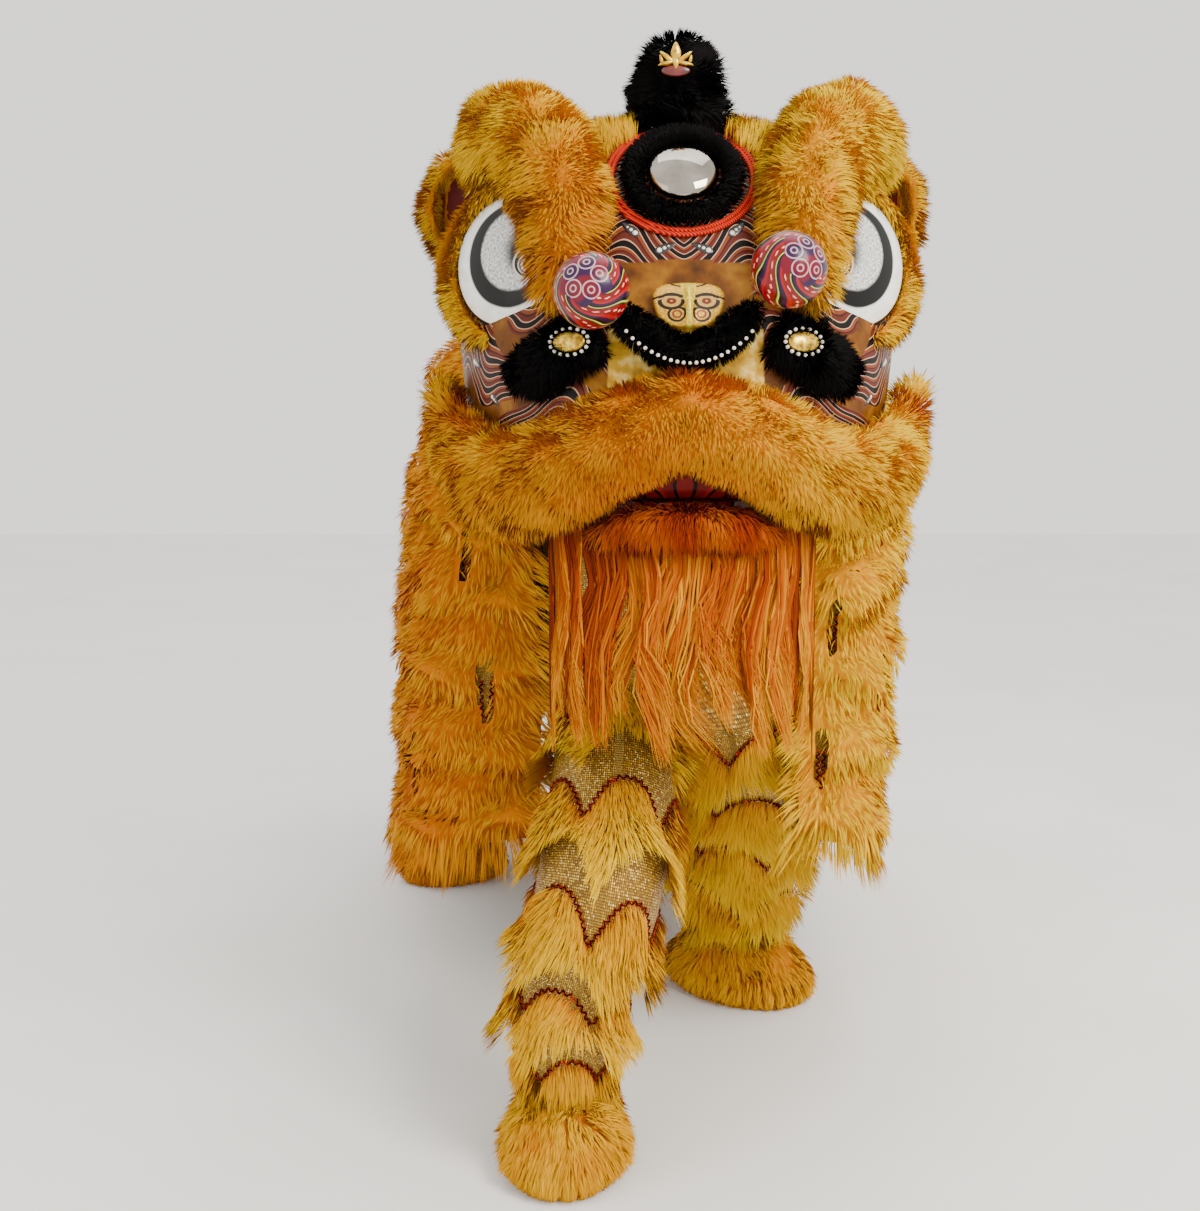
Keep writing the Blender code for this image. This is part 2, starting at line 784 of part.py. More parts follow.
def beard_sheet():
    """The beard's front: a strip along the jaw, from which every second column falls as a
    lock that waves a little and narrows to its tip."""
    columns = 2 * BEARD_LOCKS + 1
    top_row = [beard_point(2 * c / columns - 1, -0.012) for c in range(columns + 1)]
    points = [*top_row, *[beard_point(2 * c / columns - 1, 0.022) for c in range(columns + 1)]]
    faces = ring_faces(2, columns + 1, closed=False)
    for number in range(BEARD_LOCKS):
        left = columns + 2 + 2 * number
        pair = (left, left + 1)
        middle = 2 * (2 * number + 0.5) / columns - 1
        length = BEARD_LENGTH * (0.90 + 0.10 * math.cos(number * 2.4))
        for share in (0.3, 0.6, 0.85, 1.0):
            half_wide = (1.70 - 1.2 * share**3) / columns
            swing = 0.05 * share * math.sin(3.1 * share + number * 0.4)
            down = 0.022 + share * (length - 0.022)
            points.append(beard_point(middle - half_wide + swing, down))
            points.append(beard_point(middle + half_wide + swing, down))
            faces.append((*pair, len(points) - 1, len(points) - 2))
            pair = (len(points) - 2, len(points) - 1)
    return points, faces


beard = recalculate(from_points("beard", *beard_sheet(), orange_fur))
wall = beard.modifiers.new("wall", "SOLIDIFY")
wall.thickness = BEARD_THICKNESS
wall.offset = 0
settle(beard)
seat(beard, jaw_fur)
seat(beard, lip_roll, gap=JAW_PLAY)

tongue_rings = []
for share in (0.0, 0.35, 0.7, 1.0):
    y = -0.86 * MUZZLE_REACH + 0.012 * math.sin(4 * share)
    z = board_top - JAW_BOARD - GAP - share * TONGUE_LENGTH
    half_wide = TONGUE_HALF * (1 - 0.25 * share**3)
    tongue_rings.append(
        np.array(
            [
                (-half_wide, y, z),
                (half_wide, y, z),
                (half_wide, y + CLOTH, z),
                (-half_wide, y + CLOTH, z),
            ]
        )
    )
tongue = loft("tongue", tongue_rings, red_cloth)

# Cape. Each station is a fold line of cloth: it starts at the head or on the back's ridge,
# goes out to its widest place and falls to the hem. Across is a share of HEAD_HALF at the top
# and BODY_HALF at the widest, along of BODY_LENGTH, up of CROWN, rise of HEM_HEIGHT.
Station = namedtuple("Station", "top_across top_along top_up wide_across wide_along rise sway")
CAPE_STATIONS = [
    Station(0.67, -0.010, -0.655, 0.54, 0.016, 0.48, 0.00),
    Station(0.90, 0.005, -0.640, 0.80, 0.020, 0.42, -0.02),
    Station(0.95, 0.045, -0.50, 0.98, 0.060, 0.32, -0.03),
    Station(0.88, 0.100, -0.02, 1.01, 0.130, 0.20, -0.04),
    Station(0.50, 0.140, 0.36, 1.01, 0.230, 0.10, -0.05),
    Station(0.00, 0.149, 0.42, 1.01, 0.340, 0.03, -0.07),
    Station(0.00, 0.360, -0.02, 1.01, 0.470, 0.03, -0.12),
    Station(0.00, 0.560, -0.32, 1.01, 0.620, 0.00, -0.20),
    Station(0.00, 0.730, -0.52, 0.95, 0.770, 0.00, -0.24),
    Station(0.00, 0.830, -0.66, 0.70, 0.910, 0.05, -0.24),
    Station(0.00, 0.855, -0.72, 0.00, 0.990, 0.10, -0.24),
]


FallRow = namedtuple("FallRow", "share out down")
FALL_ROWS = [
    FallRow(0.00, 0.00, 0.00),
    FallRow(0.14, 0.42, 0.03),
    FallRow(0.30, 0.80, 0.13),
    FallRow(0.44, 0.95, 0.29),
    FallRow(0.60, 1.00, 0.50),
    FallRow(0.80, 1.00, 0.76),
    FallRow(1.00, 0.98, 1.00),
]


def fall(share):
    """How far out and how far down the cloth is at a share of its way to the hem."""
    shares, outs, downs = zip(*FALL_ROWS)
    return np.interp(share, shares, outs), np.interp(share, shares, downs)


def band_rows(bands, fur_share, scallop):
    """(share of the way, scallop, fur depth) of each row: a band of fur swells as it falls and
    steps back to the cloth under its lower edge. The scallop moves its edges in turn."""
    rows = []
    for band in range(bands):
        for part, edge, depth in ((0.0, 1, 0.25), (fur_share, 1, 1.0)):
            rows.append(((band + part) / bands, edge * scallop / bands, depth))
    rows.append((1.0, 0.0, 0.35))
    rows[0] = (0.0, 0.0, 0.0)
    return rows


def cape_column(side, station, rows, column):
    top_at = np.array(
        (
            side * station[0] * HEAD_HALF,
            station[1] * BODY_LENGTH,
            station[2] * CROWN,
        )
    )
    wide_at = np.array(((side * station[3] + station[6]) * BODY_HALF, station[4] * BODY_LENGTH))
    if station[0] == 0:
        top_at[0] = station[6] * BODY_HALF
    top_at = outside_shell(top_at, 4 * CLOTH if station[0] else GAP)
    hem = GROUND + HEM_HEIGHT * (1 + station[5])
    points = []
    for share, scallop, _depth in rows:
        moved = min(max(share + scallop * (1 if column % 2 else -1), 0), 1)
        out, down = fall(moved)
        xy = top_at[:2] + (wide_at - top_at[:2]) * out
        xy[0] -= SWING * down * (xy[0] / BODY_HALF) ** 4
        points.append((*xy, top_at[2] + (hem - top_at[2]) * down))
    return np.array(points)


def outward(grid):
    """Unit directions across a grid of points."""
    along = np.gradient(grid, axis=0)
    down = np.gradient(grid, axis=1)
    out = np.cross(along, down)
    return out / np.maximum(np.linalg.norm(out, axis=2), 1e-9)[..., None]


half_count = CAPE_COLUMNS // 2 + 1
stations = smooth_rows(CAPE_STATIONS, half_count)
stations[:, 0] = np.maximum(stations[:, 0], 0)
ridge = [i for i, s in enumerate(np.linspace(0, len(CAPE_STATIONS) - 1, half_count)) if s >= 5]
stations[ridge, 0] = 0
rows = band_rows(CAPE_BANDS, 0.94, 0.10)
right_side = [cape_column(-1, s, rows, i) for i, s in enumerate(stations)]
left_side = [cape_column(1, s, rows, i) for i, s in enumerate(stations[-2::-1], half_count)]
cloth = np.array(right_side + left_side)
out = outward(cloth)
if (out[half_count // 2, -1] @ np.array((-1, 0, 0))) < 0:
    out = -out
depth = np.array([row[2] for row in rows]) * CAPE_FUR
share_of_fur = np.ones(len(cloth))
share_of_fur[[0, -1]] = FRONT_EDGE_FUR
furred = cloth + out * depth[None, :, None] * share_of_fur[:, None, None]
for i in ridge[1:]:
    for column in (i, len(cloth) - 1 - i):
        furred[column, 0] = cloth[column, 0] + (0, 0, 0.4 * CAPE_FUR)
cape = from_points(
    "cape",
    furred.reshape(-1, 3),
    ring_faces(len(cloth), len(rows), closed=False),
    yellow_fur,
)
recalculate(cape)
wall = cape.modifiers.new("wall", "SOLIDIFY")
wall.thickness = CLOTH
wall.offset = -1
settle(cape)


# Trousers. A leg is a path of (x, y, z, radius share); its first station is at the crotch.
LegRow = namedtuple("LegRow", "across along drop radius")


def leg_rings(side, leg_rows, columns, bands):
    """Rings of one leg down to its ankle, banded with fur. Column 0 is the front centre, the
    first half of the columns go round the outer side to the back, and the rest round the
    inner side."""
    table = [(row.across, row.along, -row.drop, row.radius * LEG_RADIUS) for row in leg_rows]
    rows = band_rows(bands, 0.66, 0.13)
    centre_at = smooth_rows(table, 40)
    rings = []
    for share, scallop, depth in rows:
        ring = []
        for column in range(columns):
            moved = min(max(share + scallop * (1 if column % 2 else -1), 0.0), 1.0)
            place_on = moved * (len(centre_at) - 1)
            low = min(int(place_on), len(centre_at) - 2)
            centre = centre_at[low] + (centre_at[low + 1] - centre_at[low]) * (place_on - low)
            along = centre_at[low + 1][:3] - centre_at[low][:3]
            along /= np.linalg.norm(along)
            ahead = np.cross(along, (1.0, 0.0, 0.0))
            ahead /= np.linalg.norm(ahead)
            if ahead[1] > 0:
                ahead = -ahead
            outer = np.cross(ahead, along)
            outer *= math.copysign(1, outer[0] * side)
            turn = 2 * math.pi * column / columns
            radius = centre[3] + LEG_FUR * depth
            ring.append(centre[:3] + radius * (math.cos(turn) * ahead + math.sin(turn) * outer))
        rings.append(np.array(ring))
    rings[-1][:, 2] = -leg_rows[-1].drop
    return rings


def trousers(name, hip_centre, right_leg, left_leg, columns, bands):
    """Hips and two legs in one wall of cloth, open at the waist and at both ankles."""
    points, faces = [], []
    half_columns = columns // 2
    for side, leg in ((-1, right_leg), (1, left_leg)):
        hip_rows = []
        for share, swell in ((0.0, 0.90), (0.5, 0.98), (1.0, 1.0)):
            z = -WAIST_DROP - (CROTCH_DROP - WAIST_DROP) * share * 0.72
            ring = []
            for column in range(half_columns + 1):
                turn = math.pi * column / half_columns
                ring.append(
                    (
                        hip_centre[0] + side * HIP_HALF * swell * math.sin(turn),
                        hip_centre[1] - 0.72 * HIP_HALF * swell * math.cos(turn),
                        z,
                    )
                )
            hip_rows.append(ring)
        crotch = []
        for column in range(half_columns + 1, columns):
            share = (column - half_columns) / (columns - half_columns)
            y = hip_centre[1] + 0.72 * HIP_HALF * math.cos(math.pi * share)
            sag = (CROTCH_DROP - WAIST_DROP) * 0.28 * math.sin(math.pi * share)
            crotch.append((hip_centre[0], y, hip_rows[-1][0][2] - sag))
        start = len(points)
        for ring in hip_rows:
            points.extend(ring)
        count = half_columns + 1
        faces.extend(
            tuple(start + i for i in quad) for quad in ring_faces(3, count, closed=False)
        )
        last_hip = start + 2 * count
        crotch_start = len(points)
        points.extend(crotch)
        upper = [last_hip + i for i in range(count)]
        upper += [crotch_start + i for i in range(len(crotch))]
        for ring in leg_rings(side, leg, columns, bands):
            lower = [len(points) + i for i in range(columns)]
            points.extend(ring)
            for c in range(columns):
                n = (c + 1) % columns
                faces.append((upper[c], upper[n], lower[n], lower[c]))
            upper = lower
    piece = recalculate(from_points(name, points, faces, gold_cloth))
    wall = piece.modifiers.new("wall", "SOLIDIFY")
    wall.thickness = CLOTH
    wall.offset = -1
    return settle(piece)


ANKLE_DROP = CARRY_HEIGHT - FOOT_HEIGHT - GAP
FRONT_HIP = (0.0, 0.02)
FRONT_RIGHT_LEG = [
    LegRow(-0.088, -0.050, 0.56, 1.10),
    LegRow(-0.094, -0.140, 0.67, 1.14),
    LegRow(-0.116, -0.215, 0.80, 1.12),
    LegRow(-0.150, -0.240, 0.93, 1.04),
    LegRow(-0.165, -0.258, 1.02, 0.94),
    LegRow(-0.165, -0.262, ANKLE_DROP, 0.523),
]
FRONT_LEFT_LEG = [
    LegRow(0.106, 0.090, 0.56, 1.12),
    LegRow(0.132, 0.190, 0.68, 1.18),
    LegRow(0.148, 0.300, 0.80, 1.22),
    LegRow(0.155, 0.390, 0.93, 1.26),
    LegRow(0.145, 0.445, 1.02, 1.16),
    LegRow(0.142, 0.450, ANKLE_DROP, 0.715),
]
REAR_HIP = (-0.10, 1.30)
REAR_RIGHT_LEG = [
    LegRow(-0.210, 1.280, 0.56, 1.10),
    LegRow(-0.290, 1.200, 0.72, 1.04),
    LegRow(-0.360, 1.150, 0.90, 0.92),
    LegRow(-0.430, 1.120, 1.02, 0.86),
    LegRow(-0.445, 1.115, ANKLE_DROP, 0.523),
]
REAR_LEFT_LEG = [
    LegRow(0.010, 1.340, 0.56, 1.10),
    LegRow(0.070, 1.350, 0.72, 1.04),
    LegRow(0.120, 1.390, 0.90, 1.00),
    LegRow(0.150, 1.430, 1.02, 0.95),
    LegRow(0.152, 1.435, ANKLE_DROP, 0.523),
]
trousers("front_trousers", FRONT_HIP, FRONT_RIGHT_LEG, FRONT_LEFT_LEG, LEG_COLUMNS, LEG_BANDS)
trousers("rear_trousers", REAR_HIP, REAR_RIGHT_LEG, REAR_LEFT_LEG, 10, 2)


FootRow = namedtuple("FootRow", "height reach ahead")
FOOT_ROWS = [
    FootRow(0.00, 1.00, 0.12),
    FootRow(0.30, 1.05, 0.12),
    FootRow(0.66, 0.92, 0.10),
    FootRow(0.90, 0.74, 0.04),
    FootRow(1.00, 0.68, 0.00),
]


def foot_cover(name, ankle, heading, wide=1.0):
    """A fur cover over a shoe: a low dome that reaches ahead of the ankle, open underneath
    and at the ankle."""
    turn = Matrix.Rotation(heading, 4, "Z")
    start = Vector((ankle.across, ankle.along, GROUND))
    rings = []
    columns = 14
    for number, row in enumerate(FOOT_ROWS):
        ring = []
        long = FOOT_HALF_LENGTH + (FOOT_HALF_WIDTH - FOOT_HALF_LENGTH) * row.height**3
        for column in range(columns):
            angle = 2 * math.pi * column / columns
            tuft = 1 + TUFT * (0.6 if column % 2 else -0.6) * (number < 3)
            across = wide * FOOT_HALF_WIDTH * row.reach * tuft * math.sin(angle)
            along = wide * long * (row.reach * tuft * math.cos(angle) + row.ahead)
            ring.append(start + turn @ Vector((across, -along, FOOT_HEIGHT * row.height)))
        rings.append(ring)
    points = [point for ring in rings for point in ring]
    piece = recalculate(from_points(name, points, ring_faces(len(rings), columns), yellow_fur))
    wall = piece.modifiers.new("wall", "SOLIDIFY")
    wall.thickness = FOOT_WALL
    wall.offset = -1
    return settle(piece)


foot_cover("front_foot_right", FRONT_RIGHT_LEG[-1], math.radians(-4))
foot_cover("front_foot_left", FRONT_LEFT_LEG[-1], math.radians(38), 1.3)
foot_cover("rear_foot_right", REAR_RIGHT_LEG[-1], math.radians(-62))
foot_cover("rear_foot_left", REAR_LEFT_LEG[-1], math.radians(28))

bpy.data.objects.remove(core)
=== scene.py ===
"""Lion dance costume, finished on its frame: lacquered head, deep fur, sequin cloth and lit stage.

Metres, +Z up. The lion looks along -Y, its own right side is at -X, and the ground is 1.20 m
below the origin, which is where the front dancer carries the head.
"""

import math

import bmesh
import bpy
import numpy as np
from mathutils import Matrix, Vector


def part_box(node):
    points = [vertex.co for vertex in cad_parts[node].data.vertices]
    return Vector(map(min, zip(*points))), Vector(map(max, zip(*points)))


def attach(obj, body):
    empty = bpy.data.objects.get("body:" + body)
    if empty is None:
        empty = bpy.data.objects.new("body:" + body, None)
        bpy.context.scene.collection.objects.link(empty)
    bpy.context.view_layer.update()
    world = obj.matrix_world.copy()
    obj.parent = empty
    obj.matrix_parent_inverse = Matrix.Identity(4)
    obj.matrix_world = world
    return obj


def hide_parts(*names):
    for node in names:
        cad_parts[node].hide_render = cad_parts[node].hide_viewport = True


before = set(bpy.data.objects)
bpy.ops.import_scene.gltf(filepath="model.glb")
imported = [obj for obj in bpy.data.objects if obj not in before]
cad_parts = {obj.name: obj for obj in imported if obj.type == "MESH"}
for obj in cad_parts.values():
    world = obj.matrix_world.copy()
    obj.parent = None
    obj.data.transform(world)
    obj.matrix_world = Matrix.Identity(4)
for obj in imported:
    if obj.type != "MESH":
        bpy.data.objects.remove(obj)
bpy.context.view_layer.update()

# Head shell: papier-mache on a bamboo frame, lacquered gold and painted with flame scrolls in
# brown, dark red and black lines. Its rim is open below for the dancer, and the strip under
# the upper lip is dark red like the inside of the mouth.
HEAD_HALF, MUZZLE_REACH, HEAD_BACK = 0.325, 0.385, 0.27
CROWN, RIM_DROP = 0.33, 0.20
SHELL_WALL = 0.004
SHELL_SQUARENESS = 2.6
# height (share of RIM_DROP below 0 and of CROWN above it), width, front, back
SHELL_ROWS = [
    (-1.00, 0.90, 0.975, 0.86),
    (-0.45, 0.97, 1.000, 0.95),
    (0.00, 1.00, 0.975, 1.00),
    (0.16, 1.00, 0.900, 1.00),
    (0.32, 1.00, 0.820, 0.99),
    (0.52, 0.94, 0.740, 0.95),
    (0.74, 0.78, 0.610, 0.84),
    (0.90, 0.54, 0.420, 0.62),
    (0.98, 0.26, 0.200, 0.32),
]


def smooth_rows(table, count):
    """Catmull-Rom curve through a table's rows, evenly spaced in row number: cubic pieces whose
    slope at a row is half the step from the row before it to the row after it."""
    rows = np.array(table, float)
    rows = np.vstack([2 * rows[0] - rows[1], rows, 2 * rows[-1] - rows[-2]])
    t = np.linspace(0, len(table) - 1, count)
    i = np.minimum(t.astype(int), len(table) - 2)
    f = (t - i)[:, None]
    a, b, c, d = rows[i], rows[i + 1], rows[i + 2], rows[i + 3]
    curve = 2 * b + (c - a) * f + (2 * a - 5 * b + 4 * c - d) * f**2
    return 0.5 * (curve + (3 * b - a - 3 * c + d) * f**3)


shell_fine = smooth_rows(SHELL_ROWS, 161)
shell_fine[:, 0] *= np.where(shell_fine[:, 0] > 0, CROWN, RIM_DROP)
shell_fine[:, 1:] *= (HEAD_HALF, MUZZLE_REACH, HEAD_BACK)


def shell_section(z):
    """Half width, front reach and back reach of the shell at heights z, read off its curve."""
    return [np.interp(z, shell_fine[:, 0], shell_fine[:, i]) for i in (1, 2, 3)]


def shell_surface(angle, z):
    """Superellipse section: x = half |cos|^(2/n), y = reach |sin|^(2/n), with n the squareness.
    Angle 0 is +X and 90 degrees the back."""
    half, front, back = shell_section(z)
    c, s = np.cos(angle), np.sin(angle)
    power = 2 / SHELL_SQUARENESS
    deep = np.where(s > 0, back, front)
    x = half * np.sign(c) * np.abs(c) ** power
    y = deep * np.sign(s) * np.abs(s) ** power
    return np.stack(np.broadcast_arrays(x, y, z), axis=-1)


def shell_level(points):
    """Below 1 inside the shell: the sum of |x / half|^n and |y / reach|^n."""
    half, front, back = shell_section(points[..., 2])
    deep = np.where(points[..., 1] > 0, back, front)
    level = np.abs(points[..., 0] / half) ** SHELL_SQUARENESS
    level = level + np.abs(points[..., 1] / deep) ** SHELL_SQUARENESS
    return np.where(points[..., 2] > CROWN, 9.0, level)


def grid_triangles(rows, columns):
    """Two triangles for each cell of a grid of points that has this many rows and columns."""
    r, c = np.meshgrid(np.arange(rows - 1), np.arange(columns - 1), indexing="ij")
    a = (r * columns + c).reshape(-1)
    b = a + columns
    return np.concatenate([np.stack([a, b, b + 1], 1), np.stack([a, b + 1, a + 1], 1)])


def grid_mesh(name, points, wrap=False, uv=None):
    """A mesh of quads between the rows of a grid, closed round its columns if it wraps. The uv
    grid, if there is one, becomes the mesh's own map."""
    rows, columns = points.shape[:2]
    last = columns if wrap else columns - 1
    r, c = np.meshgrid(np.arange(rows - 1), np.arange(last), indexing="ij")
    n = (c + 1) % columns
    quads = np.stack([r * columns + c, r * columns + n, (r + 1) * columns + n, (r + 1) * columns + c], -1)
    quads = quads.reshape(-1, 4)
    mesh = bpy.data.meshes.new(name)
    mesh.vertices.add(rows * columns)
    mesh.vertices.foreach_set("co", points.reshape(-1).astype(np.float32))
    mesh.loops.add(quads.size)
    mesh.loops.foreach_set("vertex_index", quads.reshape(-1).astype(np.int32))
    mesh.polygons.add(len(quads))
    mesh.polygons.foreach_set("loop_start", np.arange(0, quads.size, 4, dtype=np.int32))
    mesh.polygons.foreach_set("use_smooth", np.ones(len(quads), bool))
    mesh.update(calc_edges=True)
    if uv is not None:
        flat = uv.reshape(-1, 2)[quads.reshape(-1)]
        mesh.uv_layers.new(name="UVMap").data.foreach_set("uv", flat.reshape(-1).astype(np.float32))
    return mesh


def shown(name, mesh, paint):
    """A mesh as a piece of the scene, with its material."""
    piece = bpy.data.objects.new(name, mesh)
    mesh.materials.clear()
    mesh.materials.append(paint)
    bpy.context.scene.collection.objects.link(piece)
    return piece


def closed_up(piece):
    """Merges doubled points and turns the faces outwards."""
    bm = bmesh.new()
    bm.from_mesh(piece.data)
    bmesh.ops.remove_doubles(bm, verts=bm.verts, dist=0.00002)
    bmesh.ops.recalc_face_normals(bm, faces=bm.faces)
    bm.to_mesh(piece.data)
    bm.free()
    return piece


def belongs(piece, body, slot, *nodes):
    """Parents a piece to its body's empty and hides the nodes it replaces. The slot is not used."""
    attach(piece, body)
    if nodes:
        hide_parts(*nodes)
    return piece


def srgb(code):
    """A linear colour from its sRGB hex code."""
    parts = [int(code[i : i + 2], 16) / 255 for i in (1, 3, 5)]
    return (*[p / 12.92 if p < 0.04045 else ((p + 0.055) / 1.055) ** 2.4 for p in parts], 1)


def add(tree, kind, inputs=(), **settings):
    """Adds a shader node: its settings, then its inputs, each a value or a socket to link."""
    made = tree.nodes.new(kind)
    for name, value in settings.items():
        setattr(made, name, value)
    for name, value in dict(inputs).items():
        if isinstance(value, bpy.types.NodeSocket):
            tree.links.new(value, made.inputs[name])
        else:
            made.inputs[name].default_value = value
    return made


def maths(tree, operation, *values):
    """One sum on sockets or numbers."""
    return add(tree, "ShaderNodeMath", dict(enumerate(values)), operation=operation).outputs[0]


def mix(tree, factor, a, b):
    """Colour a where the factor is 0, and b where it is 1."""
    made = add(tree, "ShaderNodeMix", {0: factor, 6: a, 7: b}, data_type="RGBA")
    return made.outputs[2]


def ramp(tree, factor, stops, blend="LINEAR"):
    """Colours along a factor, from (place, hex code) stops."""
    made = add(tree, "ShaderNodeValToRGB", {0: factor})
    made.color_ramp.interpolation = blend
    for number, (place, code) in enumerate(stops):
        spot = made.color_ramp.elements
        stop = spot[number] if number < 2 else spot.new(place)
        stop.position = place
        stop.color = srgb(code)
    return made.outputs[0]


def noise(tree, vector, scale, detail=3.0):
    """A noise value from 0 to 1 at a place, finer for a larger scale."""
    made = add(tree, "ShaderNodeTexNoise", {"Vector": vector, "Scale": scale, "Detail": detail})
    return made.outputs[0]


def step(tree, value, low, high):
    """0 below low, 1 above high and a smooth rise between them."""
    made = add(tree, "ShaderNodeMapRange", {0: value, 1: low, 2: high}, interpolation_type="SMOOTHSTEP")
    return made.outputs[0]


def bump(tree, shader, height, distance, strength=0.5):
    """Small relief of a height value, a distance deep, on a shader."""
    made = add(tree, "ShaderNodeBump", {"Height": height, "Distance": distance, "Strength": strength})
    tree.links.new(made.outputs[0], shader.inputs["Normal"])


def material(name, **values):
    """A Principled material with uniform values set on its shader; and its tree and shader."""
    made = bpy.data.materials.new(name)
    made.use_nodes = True
    shader = made.node_tree.nodes["Principled BSDF"]
    for key, value in values.items():
        shader.inputs[key.replace("_", " ")].default_value = value
    return made, made.node_tree, shader


def colour(tree, shader, socket, into="Base Color"):
    """Links a socket to one of the shader's inputs, its base colour unless another is named."""
    tree.links.new(socket, shader.inputs[into])


painted_paper, tree, shader = material("painted_paper", Metallic=0.1, Coat_Weight=0.05,
    Specular_IOR_Level=0.15)
where = add(tree, "ShaderNodeTexCoord").outputs["Object"]
x, y, z = add(tree, "ShaderNodeSeparateXYZ", {0: where}).outputs
wide = maths(tree, "ABSOLUTE", x)
folded = add(tree, "ShaderNodeCombineXYZ", {0: wide, 1: y, 2: z}).outputs[0]
sweep = maths(tree, "SINE", maths(tree, "ADD", maths(tree, "MULTIPLY", wide, 34.0), maths(tree,
    "MULTIPLY", z, 13.0)))
lines = maths(tree, "ADD", maths(tree, "MULTIPLY", z, 58.0), maths(tree, "MULTIPLY", sweep, 1.7))
lines = maths(tree, "ADD", lines, maths(tree, "MULTIPLY", noise(tree, folded, 13.0, 0.5), 3.2))
stripe = maths(tree, "FRACT", lines)
gold = ramp(tree, noise(tree, where, 26.0, 4.0), [(0.25, "#3C2004"), (0.5, "#6C3E08"), (0.8, "#9C6A12")])
scrolls = ramp(
    tree,
    stripe,
    [
        (0.00, "#0C0505"),
        (0.20, "#C79C80"),
        (0.26, "#5C2216"),
        (0.48, "#3E130E"),
        (0.58, "#7A3A1C"),
        (0.78, "#C79C80"),
        (0.84, "#0C0505"),
    ],
    "CONSTANT",
)
flame_lines = maths(tree, "ADD", maths(tree, "MULTIPLY", z, 9.0), maths(tree, "MULTIPLY", sweep, 0.30))
flame_lines = maths(tree, "ADD", flame_lines, noise(tree, folded, 8.0, 0.0))
in_flames = step(tree, maths(tree, "PINGPONG", flame_lines, 0.5), 0.12, 0.13)
on_forehead = step(tree, z, 0.117, 0.119)
in_flames = maths(tree, "MAXIMUM", in_flames, on_forehead)
bridge = maths(tree, "MULTIPLY", step(tree, z, 0.020, 0.024), step(tree, maths(tree, "MULTIPLY", z,
    -1.0), -0.116, -0.112))
bridge = maths(tree, "MULTIPLY", bridge, step(tree, maths(tree, "MULTIPLY", wide, -1.0), -0.10, -0.085))
in_flames = maths(tree, "MULTIPLY", in_flames, maths(tree, "SUBTRACT", 1.0, bridge))
under_nose = maths(tree, "MULTIPLY", step(tree, z, 0.026, 0.022), step(tree, z, -0.062, -0.058))
under_nose = maths(tree, "MULTIPLY", under_nose, step(tree, wide, 0.106, 0.102))
in_flames = maths(tree, "MULTIPLY", in_flames, maths(tree, "SUBTRACT", 1.0, under_nose))
foil = ramp(tree, noise(tree, where, 40.0, 3.0), [(0.3, "#8A6410"), (0.5, "#C79A20"), (0.7, "#FFE890")])
gold = mix(tree, under_nose, gold, foil)
painted = mix(tree, in_flames, gold, scrolls)
tongues = maths(tree, "ADD", maths(tree, "MULTIPLY", wide, 24.0), maths(tree, "MULTIPLY", noise(tree,
    folded, 16.0, 1.0), 1.5))
mouth_red = ramp(
    tree,
    maths(tree, "FRACT", tongues),
    [(0.0, "#140504"), (0.14, "#7E1310"), (0.5, "#A81C16"), (0.62, "#140504"), (0.7, "#8C1511")],
    "CONSTANT",
)
in_mouth = maths(tree, "MULTIPLY", step(tree, maths(tree, "MULTIPLY", z, -1.0), 0.128, 0.130),
    step(tree, maths(tree, "MULTIPLY", y, -1.0), 0.18, 0.20))
painted = mix(tree, in_mouth, painted, mouth_red)
colour(tree, shader, painted)
wear = noise(tree, where, 60.0, 4.0)
colour(tree, shader, add(tree, "ShaderNodeMapRange", {0: wear, 3: 0.35, 4: 0.6}).outputs[0], "Roughness")
bump(tree, shader, maths(tree, "ADD", wear, in_flames), 0.0008, 0.4)

angles = np.linspace(0, 2 * math.pi, 124, endpoint=False)
heights = np.append(np.linspace(-RIM_DROP, 0.93 * CROWN, 44), CROWN * np.array([0.95, 0.97, 0.98]))
shell_points = shell_surface(angles[None, :], heights[:, None])
closing = np.array([0.66, 0.33, 0.0])[:, None, None]
lid = shell_points[-1][None] * (closing, closing, np.ones_like(closing))[0]
lid[..., 2] = CROWN * (0.98 + 0.02 * (1 - closing[..., 0] ** 2))
shell_points = np.concatenate([shell_points, lid])
head_shell = closed_up(shown("shell", grid_mesh("shell", shell_points, wrap=True), painted_paper))
wall = head_shell.modifiers.new("wall", "SOLIDIFY")
wall.thickness = SHELL_WALL
wall.offset = -1


def apply_modifiers(piece):
    """Replaces a piece's mesh by what its modifiers make of it."""
    graph = bpy.context.evaluated_depsgraph_get()
    mesh = bpy.data.meshes.new_from_object(piece.evaluated_get(graph))
    piece.modifiers.clear()
    piece.data = mesh
    return piece


def tube_mesh(name, path, radii, sides=10, ends=True):
    """A round tube along a path: rings of the given radii about axes carried along it."""
    path = np.array(path, float)
    radii = np.broadcast_to(radii, len(path))
    tangents = np.gradient(path, axis=0)
    tangents /= np.linalg.norm(tangents, axis=1)[:, None]
    across = np.cross(tangents[0], (0.1, 0.3, 1.0))
    turns = 2 * math.pi * np.arange(sides) / sides
    rings = []
    for point, tangent, radius in zip(path, tangents, radii):
        across = across - tangent * (across @ tangent)
        across /= np.linalg.norm(across)
        other = np.cross(tangent, across)
        rings.append(point + radius * (np.outer(np.cos(turns), across) + np.outer(np.sin(turns), other)))
    if ends:
        rings = [np.repeat(path[:1], sides, 0), *rings, np.repeat(path[-1:], sides, 0)]
    return grid_mesh(name, np.array(rings), wrap=True)


